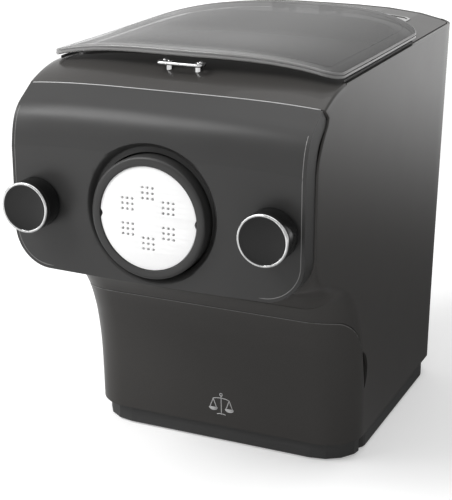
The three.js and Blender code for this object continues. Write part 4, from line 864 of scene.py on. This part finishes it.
# Fine lines on the front, light in colour as painted highlights
PANEL_BEAD_SECTION = [(2.1, -0.02), (2.3, 0.14), (2.5, 0.14), (2.7, -0.02)]
BEAD_END_DROP, BEAD_STEPS = 12.0, 24
DRAWER_LINE_RADIUS, DRAWER_LINE_INSET, DRAWER_LINE_GROW, DRAWER_LINE_FOOT = 0.36, 0.37, -0.35, 2
HEAD_LINE_RADIUS, HEAD_LINE_HALF, HEAD_LINE_BACK, HEAD_LINE_RISE = 0.38, 104.5, 1.0, 0.15
HEAD_LINE_STEPS = 80


def tube(points, radius, sides):
    """Rows of points round a path, for a wire or a raised line."""
    rows = []
    for before, point, after in zip([points[0], *points], points, [*points[1:], points[-1]]):
        along = (after - before).normalized()
        side = along.cross(Vector((0, 1, 0)))
        if side.length < 0.1:
            side = along.cross(Vector((0, 0, 1)))
        side.normalize()
        up = side.cross(along)
        rows.append([point + (side * cos + up * sin) * radius * MM for sin, cos in around(sides)])
    return rows


def wire(points, radius, sides=8):
    return closed(grid_mesh("wire", tube(points, radius, sides), close_columns=True))


def make_panel_line():
    """The fine raised line that follows the panel's edge a little way in, its light colour a painted
    highlight.
    """
    rows = []
    for inset, proud in PANEL_BEAD_SECTION:
        x, top, low = PANEL_HALF - inset, PANEL_TOP - BEAD_END_DROP, CHIN + PANEL_CORNER
        sides = [mix(top, low, i / BEAD_STEPS) for i in range(BEAD_STEPS)]
        line = [(x, z) for z in sides] + corner_points(inset, BEAD_STEPS)
        line += [(-x, z) for z in reversed(sides)]
        rows.append([spot(x, panel_front_at(x, z) - proud, z) for x, z in line])
    mesh = edited(grid_mesh("panel_bead_highlight", rows), flipped)
    # Light grey on the raised line: a painted highlight
    link("panel_bead_highlight", mesh, "front_panel", "panel_satin", look="painted_line_highlight")


def make_drawer_line():
    """A painted highlight: the thin light line along the drawer front's upper edge."""
    flat = HALF - FRONT_RADIUS
    half = []
    for y, z in drawer_region(DRAWER_LINE_GROW)[1:-2]:
        ahead = front_at(z) + FRONT_RADIUS - y
        if z >= PLINTH + DRAWER_LINE_FOOT and ahead <= FRONT_RADIUS:
            half.append((skin_half(y, z) - DRAWER_LINE_INSET, y, z))
    top = half[-1][2]
    half += [(flat * (1 - i / FLAT_STEPS), front_at(top), top) for i in range(FLAT_STEPS)]
    line = half + [(-x, y, z) for x, y, z in reversed(half)]
    mesh = wire([spot(*point) for point in line], DRAWER_LINE_RADIUS)
    link("drawer_edge_highlight", mesh, "drawer", "body_gloss", look="painted_line_highlight")


def make_head_line():
    """A painted highlight: the thin light line where the head's deck meets the panel."""
    line = []
    for i in range(HEAD_LINE_STEPS + 1):
        x = mix(-HEAD_LINE_HALF, HEAD_LINE_HALF, i / HEAD_LINE_STEPS)
        z = panel_top(x)
        line.append(spot(x, panel_front_at(x, z) + HEAD_LINE_BACK, z + HEAD_LINE_RISE))
    link("head_edge_highlight", wire(line, HEAD_LINE_RADIUS), "housing", "body_gloss", look="print_and_line_highlight")


# Ring nut, shaping disc and knobs; profiles are steps out from a radius and back from a face
RING_INNER_ROUND = [(0, 0.7), (0.25, 0.2), (0.8, 0)]
RING_OUTER_ROUND = [(-2.2, 0), (-1.1, 0.25), (-0.3, 0.9), (0, 1.8)]
DISC_HALF_DEPTH, DISC_ROUND, NOTCH_DEPTHS, RIM_STEPS = 2.7, 0.25, {0: 1.5, 1: 1.0}, 144
HOLE_GROUPS, HOLE_RING, HOLE_PITCH, HOLE_RADIUS, HOLE_SIDES = 6, 17.1, 3.65, 1.2, 12
KNOB_SKIRT = [
    (-1.6, 1.9), (-0.15, 1.9), (-0.15, 3.2), (-0.55, 3.4), (-0.55, 3.8), (-0.15, 4.0),
    (-0.15, KNOB_LENGTH - 1.2), (-0.7, KNOB_LENGTH), (-3, KNOB_LENGTH), (-3, 5), (-KNOB_RADIUS, 5),
]
KNOB_CAP = [
    (-KNOB_RADIUS, 1.15), (-4.4, 0.95), (-2.9, 0.5), (-2.2, 0.35), (-1.75, 0.5), (-1.75, 5.2),
    (-KNOB_RADIUS, 5.2),
]
KNOB_TRIM = [
    (-1.7, 0.25), (-1.35, 0), (-0.7, 0.05), (-0.12, 0.6), (0, 1.2), (-0.1, 1.85), (-1.7, 1.85),
    (-1.7, 0.25),
]
# Each knob's pieces: kind, profile, slot, look where it isn't the slot's, and the solid replaced
KNOB_PARTS = [
    ("skirt", KNOB_SKIRT, "knob_black", None, "knob"),
    ("face", KNOB_CAP, "knob_black", "knob_face", None),
    ("trim", KNOB_TRIM, "trim_chrome", None, "knob_ring"),
]
RING_CRISP, DISC_CRISP, KNOB_CRISP = 40, 30, 42


def make_ring():
    back = RING_FACE + RING_LENGTH
    profile = [
        (RING_LIP, RING_SEAT), *turned(RING_INNER_ROUND, RING_LIP, RING_FACE),
        *turned(RING_OUTER_ROUND, RING_RADIUS, RING_FACE), (RING_RADIUS, back), (RING_BORE, back),
        (RING_BORE, RING_SEAT), (RING_LIP, RING_SEAT),
    ]
    mesh = lathe("ring_face", profile, 0, AXIS_Z, 144)
    crisp(link("ring_face", mesh, "ring_nut", "panel_satin", "ring_nut"), RING_CRISP)


def circle(count, radius, u=0.0, v=0.0):
    return [(u + radius * cos, v + radius * sin) for sin, cos in around(count)]


def disc_loops():
    """The disc's rim with its two notches, then six square groups of nine holes."""
    rim, half = [], RIM_STEPS // 2
    for i, (u, v) in enumerate(circle(RIM_STEPS, 1)):
        near = min(i % half, half - i % half)
        radius = DISC_RADIUS - DISC_ROUND - NOTCH_DEPTHS.get(near, 0)
        rim.append((u * radius, v * radius))
    yield rim
    for group in range(HOLE_GROUPS):
        turn = (group + 0.5) * 2 * math.pi / HOLE_GROUPS
        for row in (-1, 0, 1):
            for column in (-1, 0, 1):
                u = HOLE_RING * math.cos(turn) + column * HOLE_PITCH
                v = HOLE_RING * math.sin(turn) + row * HOLE_PITCH
                yield circle(HOLE_SIDES, HOLE_RADIUS, u, v)


def make_disc():
    data = bpy.data.curves.new("disc_outline", "CURVE")
    data.dimensions = "2D"
    data.fill_mode = "BOTH"
    data.extrude = DISC_HALF_DEPTH * MM
    data.bevel_depth = DISC_ROUND * MM
    data.bevel_resolution = 2
    for points in disc_loops():
        spline = data.splines.new("POLY")
        spline.points.add(len(points) - 1)
        for target, (u, v) in zip(spline.points, points):
            target.co = (u * MM, v * MM, 0, 1)
        spline.use_cyclic_u = True
    maker = placed("disc_outline", data)
    mesh = final_mesh(maker)
    bpy.data.objects.remove(maker)
    mesh.name = "disc_plate"
    for vertex in mesh.vertices:
        u, v, w = vertex.co
        middle = spot(0, DISC_FACE + DISC_HALF_DEPTH + DISC_ROUND, AXIS_Z)
        vertex.co = middle + Vector((u, -w, v))
    edited(mesh, outward)
    crisp(link("disc_plate", mesh, "shaping_disc", "disc_white", "shaping_disc"), DISC_CRISP)


def make_knobs():
    for name, side in SIDES:
        for kind, profile, slot, look, solid in KNOB_PARTS:
            mesh = lathe(kind, turned(profile, KNOB_RADIUS, KNOB_FACE), side * KNOB_X, KNOB_Z)
            replaced = [f"{solid}_{name}"] if solid else []
            piece = link(f"knob_{kind}_{name}", mesh, f"knob_{name}", slot, *replaced, look=look)
            crisp(piece, KNOB_CRISP)


# Lid with its hinge lugs, and the comb strips under its rim
LID_FRONT, LID_BOW, LID_SIDE_BACK, LID_TAIL, LID_HALF = -58.5, 9.0, 115.0, 54.0, 106.6
LID_DEPTH, LID_SKIN, LID_RIM, LID_CORNER, LID_CORNER_LEAST = 7.0, 2.2, 3.0, 15.0, 1.0
LID_LIFT, LIFT_START, LIFT_REACH, LIFT_SIDE_LOSS, LID_MIDDLE = 2.0, 45, 90, 0.8, 30.0
TAIL_STEPS, LID_SIDE_STEPS, LID_CORNER_STEPS, LID_FRONT_STEPS = 72, 12, 12, 40
LID_INNER = LID_RIM + 0.3
LID_CRISP, LUG_CRISP, LID_EDGE_NORMAL = 50, 40, 0.86

# The lid's rim from its inner side round to its top: inset from the plan, depth under the crown
LID_SECTION = [
    (LID_INNER, LID_SKIN + 0.4), (LID_RIM, 4.3), (0.9, 4.35), (0.5, 4.0), (0.5, 3.6), (0, 3.4),
    (0, 2.0), (0.6, 1.9), (0.6, 1.4), (0.05, 1.3), (0, 1.0), (0.25, 0.4), (0.7, 0.08), (1.5, 0),
    (4.0, 0),
]
LID_LINE_SECTION = [(10.0, -0.02), (10.25, -0.1), (10.5, -0.02)]

HINGE_Y, HINGE_Z, HINGE_X = 171.5, 306.554, 20.0
LUG_SECTIONS = [(-5, 2.5), (-4.7, 2.8), (4.7, 2.8), (5, 2.5)]
LUG_FRONT, LUG_UNDER, LUG_FOOT = 158, 1.4, 1.6

COMB_RIBS, COMB_FRONT, COMB_THICK, COMB_LOW, COMB_HIGH = 84, -34, 1.0, 0.3, LID_DEPTH - 4.4
COMB_IN, COMB_OUT, COMB_LOW_SLOPE, COMB_HIGH_SLOPE = LID_HALF - 2.2, LID_HALF - 1.2, 0.3, 0.5


def lid_plan(inset):
    """Points round the lid's plan, drawn in by inset."""
    half, tail = LID_HALF - inset, LID_TAIL - inset
    corner = max(LID_CORNER - inset, LID_CORNER_LEAST)
    flat, front = half - corner, LID_FRONT + inset
    y = front + LID_BOW + corner
    side = [mix(LID_SIDE_BACK, y, i / LID_SIDE_STEPS) for i in range(1, LID_SIDE_STEPS)]
    points = [(half * cos, LID_SIDE_BACK + tail * sin) for sin, cos in turns(TAIL_STEPS, 0, 1)]
    points += [(-half, along) for along in side]
    points += [(corner * cos - flat, y + corner * sin) for sin, cos in turns(LID_CORNER_STEPS, 1, 1.5)]
    across = [mix(-1, 1, i / LID_FRONT_STEPS) for i in range(1, LID_FRONT_STEPS)]
    points += [(flat * share, front + LID_BOW * share**2) for share in across]
    points += [(flat + corner * cos, y + corner * sin) for sin, cos in turns(LID_CORNER_STEPS, 1.5, 2)]
    return points + [(half, along) for along in reversed(side)]


def lid_row(inset, drop, share=1.0):
    """A closed row at the given depth under the lid's crowned top."""
    row = []
    for x, y in lid_plan(inset):
        x, y = x * share, mix(LID_MIDDLE, y, share)
        ahead = clamp((LIFT_START - y) / LIFT_REACH)
        lift = LID_LIFT * ahead**2 * (3 - 2 * ahead) * (1 - LIFT_SIDE_LOSS * abs(x / LID_HALF) ** 3)
        row.append(spot(x, y, deck_at(x, y) + LID_DEPTH - drop + lift))
    return row


def lid_lug(x):
    """A hinge lug round the hinge pin, seen from the side."""
    rows = []
    for end, radius in LUG_SECTIONS:
        row = [(HINGE_Y + radius * cos, HINGE_Z + radius * sin) for sin, cos in turns(24, 1.5, 3)]
        row += [(LUG_FRONT, HINGE_Z + radius), (LUG_FRONT, HINGE_Z - LUG_UNDER)]
        row.append((HINGE_Y - 1, HINGE_Z - LUG_FOOT))
        rows.append([spot(x + end, y, z) for y, z in row])
    return closed(grid_mesh("lug", rows, close_columns=True))


def make_lid():
    inner = [mix(0.02, 0.98, i / 9) for i in range(10)]
    rows = [lid_row(LID_INNER, LID_SKIN, share) for share in inner]
    rows += [lid_row(inset, drop) for inset, drop in LID_SECTION]
    rows += [lid_row(LID_SECTION[-1][0], 0, share) for share in reversed(inner)]
    mesh = closed(grid_mesh("lid_shell", rows, close_columns=True))
    lid = link("lid_shell", mesh, "lid", "lid_clear", "lid")
    mesh.materials.append(MATERIALS["lid_edge_highlight"])
    # Steep faces round the rim take the lighter copy: a painted highlight along the lid's edge
    for face in mesh.polygons:
        if abs(face.normal.z) < LID_EDGE_NORMAL:
            face.material_index = 1
    crisp(lid, LID_CRISP)
    rows = [lid_row(inset, drop) for inset, drop in LID_LINE_SECTION]
    link("lid_crown_line", grid_mesh("lid_crown_line", rows, close_columns=True), "lid", "lid_clear")
    for name, side in SIDES:
        crisp(link(f"lid_lug_{name}", lid_lug(side * HINGE_X), "lid", "lid_clear"), LUG_CRISP)


def make_combs():
    """The rows of fine ribs along the lid's sides, under its rim."""
    for name, side in SIDES:
        verts, faces = [], []
        for i in range(COMB_RIBS):
            base = len(verts)
            front = mix(COMB_FRONT, LID_SIDE_BACK, i / COMB_RIBS)
            for y in (front, front + COMB_THICK):
                low, high = deck_edge(y) + COMB_LOW, deck_edge(y) + COMB_HIGH
                verts += [
                    (side * COMB_IN, y, low), (side * COMB_OUT, y, low + COMB_LOW_SLOPE),
                    (side * COMB_OUT, y, high - COMB_HIGH_SLOPE), (side * COMB_IN, y, high),
                ]
            for a, b in ((0, 1), (1, 2), (2, 3), (3, 0)):
                faces.append((base + a, base + b, base + b + 4, base + a + 4))
            faces += [(base, base + 3, base + 2, base + 1), (base + 4, base + 5, base + 6, base + 7)]
        mesh = bpy.data.meshes.new(f"comb_{name}")
        mesh.from_pydata([tuple(spot(*v)) for v in verts], [], faces)
        link(f"comb_{name}", edited(mesh, outward), "lid", "base_plastic", smooth=False)


# Finger recesses: share of the opening, and x of the skin there
CUP_SECTIONS = [(1, 107.0), (1, 105.2), (0.97, 101), (0.9, 98.2), (0.75, 97), (0.4, 96.6), (0.02, 96.5)]
CUP_PLAY, CUP_CLEAR, CUP_SKIN = 0.1, 3.4, 0.8


def make_cups():
    for name, side in SIDES:
        rows = []
        for share, x in CUP_SECTIONS:
            row = []
            for y, z in recess_outline(-CUP_PLAY):
                y, z = mix(RECESS_Y, y, share), mix(RECESS_Z, z, share)
                row.append(spot(side * min(x, skin_half(y, z) - CUP_CLEAR), y, z))
            rows.append(row)
        mesh = grid_mesh(f"finger_cup_{name}", rows, close_columns=True)
        if side < 0:
            edited(mesh, flipped)
        thicken(link(f"finger_cup_{name}", mesh, "housing", "inner_plastic"), CUP_SKIN)


# The sign on the drawer, in millimetres from its foot
SIGN_X, SIGN_FOOT, SIGN_STROKE, SIGN_SUNK = 5.0, 24.5, 0.36, 0.02
BEAM_HALF, BEAM_END, CORD_SPREAD, LOOP_RADIUS, LOOP_HEIGHT = 6.6, 12.6, 2.7, 1.1, 16.5
PAN_HEIGHT, PAN_HALF, PAN_DEPTH = 5.2, 3.3, 2.2
PAN_LINES = [(0, PAN_HALF), (0.5, 2.9), (1.0, 2.4), (1.5, 1.8)]
SIGN_STROKES = [
    [(0, 0), (0, 4), (0, 8), (0, 12), (0, 15.4)],
    [(-3.6, 0), (-1.8, 0.5), (0, 0.7), (1.8, 0.5), (3.6, 0)],
    [(-BEAM_HALF, BEAM_END), (-4, 13.4), (0, 13.8), (4, 13.4), (BEAM_HALF, BEAM_END)],
]


def joined(meshes, name):
    whole = bpy.data.meshes.new(name)
    shape = bmesh.new()
    for mesh in meshes:
        shape.from_mesh(mesh)
        bpy.data.meshes.remove(mesh)
    shape.to_mesh(whole)
    shape.free()
    return whole


def on_cover(u, v):
    """The place on the drawer's face of a point of the sign."""
    z = SIGN_FOOT + v
    return spot(SIGN_X + u, front_at(z) - SIGN_SUNK, z)


def make_sign():
    """A plain pair of scales, the sign for weighing, printed on the drawer's front."""
    strokes = list(SIGN_STROKES)
    for hang in (-BEAM_HALF, BEAM_HALF):
        for spread in (-CORD_SPREAD, CORD_SPREAD):
            strokes.append([(hang, BEAM_END), (hang + spread, PAN_HEIGHT)])
        strokes.append([
            (hang - PAN_HALF * cos, PAN_HEIGHT - PAN_DEPTH * sin) for sin, cos in turns(12, 0, 1)
        ])
        for drop, reach in PAN_LINES:
            strokes.append([(hang + u, PAN_HEIGHT - drop) for u in (-reach, 0, reach)])
    strokes.append([(LOOP_RADIUS * cos, LOOP_HEIGHT + LOOP_RADIUS * sin) for sin, cos in turns(12, 0, 2)])
    parts = [wire([on_cover(u, v) for u, v in line], SIGN_STROKE, 6) for line in strokes]
    link("scales_sign", joined(parts, "scales_sign"), "drawer", "button_grey", look="print_and_line_highlight")


# The latch: a wire bail and its two round-headed posts
BAIL_Z, BAIL_HALF, BAIL_RADIUS, BAIL_BEND, BAIL_CRISP = 299.4, 15.9, 1.2, 2.6, 50
BAIL_FRONT, BAIL_PIVOT, BAIL_TURN_IN, BAIL_STRAIGHT = -60.0, -52.5, 5.8, 8
BALL_RADIUS, BALL_AHEAD, BALL_INSET, BALL_LIFT, BALL_TIP = 1.5, 1.2, 2.8, 0.9, 0.02


def bail_path():
    """The bail in plan: a turned-in end, two bends and the front bar, then the same mirrored."""
    bend, middle = BAIL_BEND, BAIL_BEND - BAIL_HALF
    path = [(BAIL_TURN_IN - BAIL_HALF, BAIL_PIVOT)]
    path += [(middle - bend * sin, BAIL_PIVOT - bend * (1 - cos)) for sin, cos in turns(6, 0, 0.5)]
    forward = list(turns(6, 0, 0.5))[1:]
    path += [(middle - bend * cos, BAIL_FRONT + bend * (1 - sin)) for sin, cos in forward]
    bar = [(x, BAIL_FRONT) for x in (-BAIL_STRAIGHT, 0, BAIL_STRAIGHT)]
    return path + bar + [(-x, y) for x, y in reversed(path)]


def make_latch():
    mesh = wire([spot(x, y, BAIL_Z) for x, y in bail_path()], BAIL_RADIUS, 16)
    crisp(link("bail_wire", mesh, "latch_bail", "trim_chrome", "latch_bail"), BAIL_CRISP)
    middle = BAIL_PIVOT - BALL_AHEAD
    ball = [
        (max(BALL_TIP, BALL_RADIUS * sin), middle - BALL_RADIUS * cos) for sin, cos in turns(12, 0, 1)
    ]
    for name, side in SIDES:
        mesh = closed(lathe("ball", ball, side * (BAIL_HALF - BALL_INSET), BAIL_Z + BALL_LIFT, 24))
        link(f"latch_ball_{name}", mesh, "latch_bail", "trim_chrome")


# Stage and light, in metres and watts
WORLD_SEEN, WORLD_LIGHT = 1.0, 0.42
FLOOR_HALF, FLOOR_DROP, FLOOR_GLOW = 6.0, 0.0002, 0.4
# Painted shadow that mirrored rays see on the floor: darkest round its middle, fading out from start to end
REFLECTED_SHADE_MIDDLE, REFLECTED_SHADE_START, REFLECTED_SHADE_END, REFLECTED_SHADE_TONE = (0.25, 0.3, 0.0), 0.1, 1.25, 0.08
GLOW_START, GLOW_END, GLOW_FAR = 0.5, 3.0, 3.0

# Name, place, target, width, height and power of each lamp
LAMPS = [
    ("left", (-1.25, -0.75, 0.8), (0, -0.05, 0.15), 0.5, 0.9, 7),
    ("key", (-0.9, -0.9, 1.5), (0, 0, 0.15), 0.8, 0.8, 22),
    ("top", (0.1, 0.1, 1.9), (0, 0, 0.2), 1.6, 1.6, 12),
]


def light_for_view(tree, seen_level, other_level):
    """How bright a surface looks, and how much light it gives to others."""
    path = tree.nodes.new("ShaderNodeLightPath")
    seen = path.outputs["Is Camera Ray"]
    for name in ("Is Glossy Ray", "Is Transmission Ray"):
        join = tree.nodes.new("ShaderNodeMath")
        join.operation = "ADD"
        join.use_clamp = True
        tree.links.new(seen, join.inputs[0])
        tree.links.new(path.outputs[name], join.inputs[1])
        seen = join.outputs[0]
    level = tree.nodes.new("ShaderNodeMapRange")
    level.inputs["To Min"].default_value = other_level
    level.inputs["To Max"].default_value = seen_level
    tree.links.new(seen, level.inputs["Value"])
    return level.outputs["Result"]


def make_world():
    world = bpy.data.worlds.new("studio")
    bpy.context.scene.world = world
    world.use_nodes = True
    tree = world.node_tree
    background = tree.nodes["Background"]
    background.inputs["Color"].default_value = (1, 1, 1, 1)
    tree.links.new(light_for_view(tree, WORLD_SEEN, WORLD_LIGHT), background.inputs["Strength"])


def make_floor_material():
    """Pale floor that glows with distance, with a painted shadow near the body that only mirrored rays see.
    """
    n = Nodes("floor")
    away = n.add("ShaderNodeVectorMath", operation="DISTANCE")
    n.link(n.place, away.inputs[0])
    away.inputs[1].default_value = REFLECTED_SHADE_MIDDLE
    # Mirrored rays see the floor's colour darkened near the body: a painted shadow
    reflected_shade = n.span(away.outputs["Value"], REFLECTED_SHADE_TONE, 1.0, REFLECTED_SHADE_START, REFLECTED_SHADE_END, "SMOOTHSTEP")
    tone = n.add("ShaderNodeMix", data_type="RGBA")
    path = n.add("ShaderNodeLightPath")
    n.link(path.outputs["Is Glossy Ray"], tone.inputs["Factor"])
    n.link(n.ramp(n.noise(3.0), grey(0.80), grey(0.83)), tone.inputs["A"])
    n.link(reflected_shade, tone.inputs["B"])
    n.drive("Base Color", tone.outputs["Result"])
    n.drive("Emission Color", tone.outputs["Result"])
    n.set(Roughness=0.6, Specular_IOR_Level=0.0)
    far = n.add("ShaderNodeVectorMath", operation="LENGTH")
    n.link(n.place, far.inputs[0])
    growth = n.span(far.outputs["Value"], 1.0, GLOW_FAR, GLOW_START, GLOW_END, "SMOOTHSTEP")
    glow = n.add("ShaderNodeMath", operation="MULTIPLY")
    n.link(light_for_view(n.tree, FLOOR_GLOW, 0.0), glow.inputs[0])
    n.link(growth, glow.inputs[1])
    n.drive("Emission Strength", glow.outputs["Value"])


def make_floor():
    make_floor_material()
    rows = [[(x, y, -FLOOR_DROP) for x in (-FLOOR_HALF, FLOOR_HALF)] for y in (-FLOOR_HALF, FLOOR_HALF)]
    mesh = grid_mesh("floor", rows)
    mesh.materials.append(MATERIALS["floor"])
    placed("floor", mesh)


def make_lamps():
    for name, place, target, width, height, power in LAMPS:
        data = bpy.data.lights.new(name, "AREA")
        data.shape = "RECTANGLE"
        data.size, data.size_y = width, height
        data.energy = power
        lamp = placed(name, data)
        lamp.location = place
        aim(lamp, Vector(target) - Vector(place))


bpy.context.scene.view_settings.view_transform = "Standard"
make_materials()
finish_solids()
make_camera()
make_world()
make_floor()
make_body()
make_drawer_front()
make_head()
make_panel()
make_panel_line()
make_head_line()
make_drawer_line()
make_ring()
make_disc()
make_knobs()
make_lid()
make_combs()
make_cups()
make_sign()
make_latch()
make_lamps()
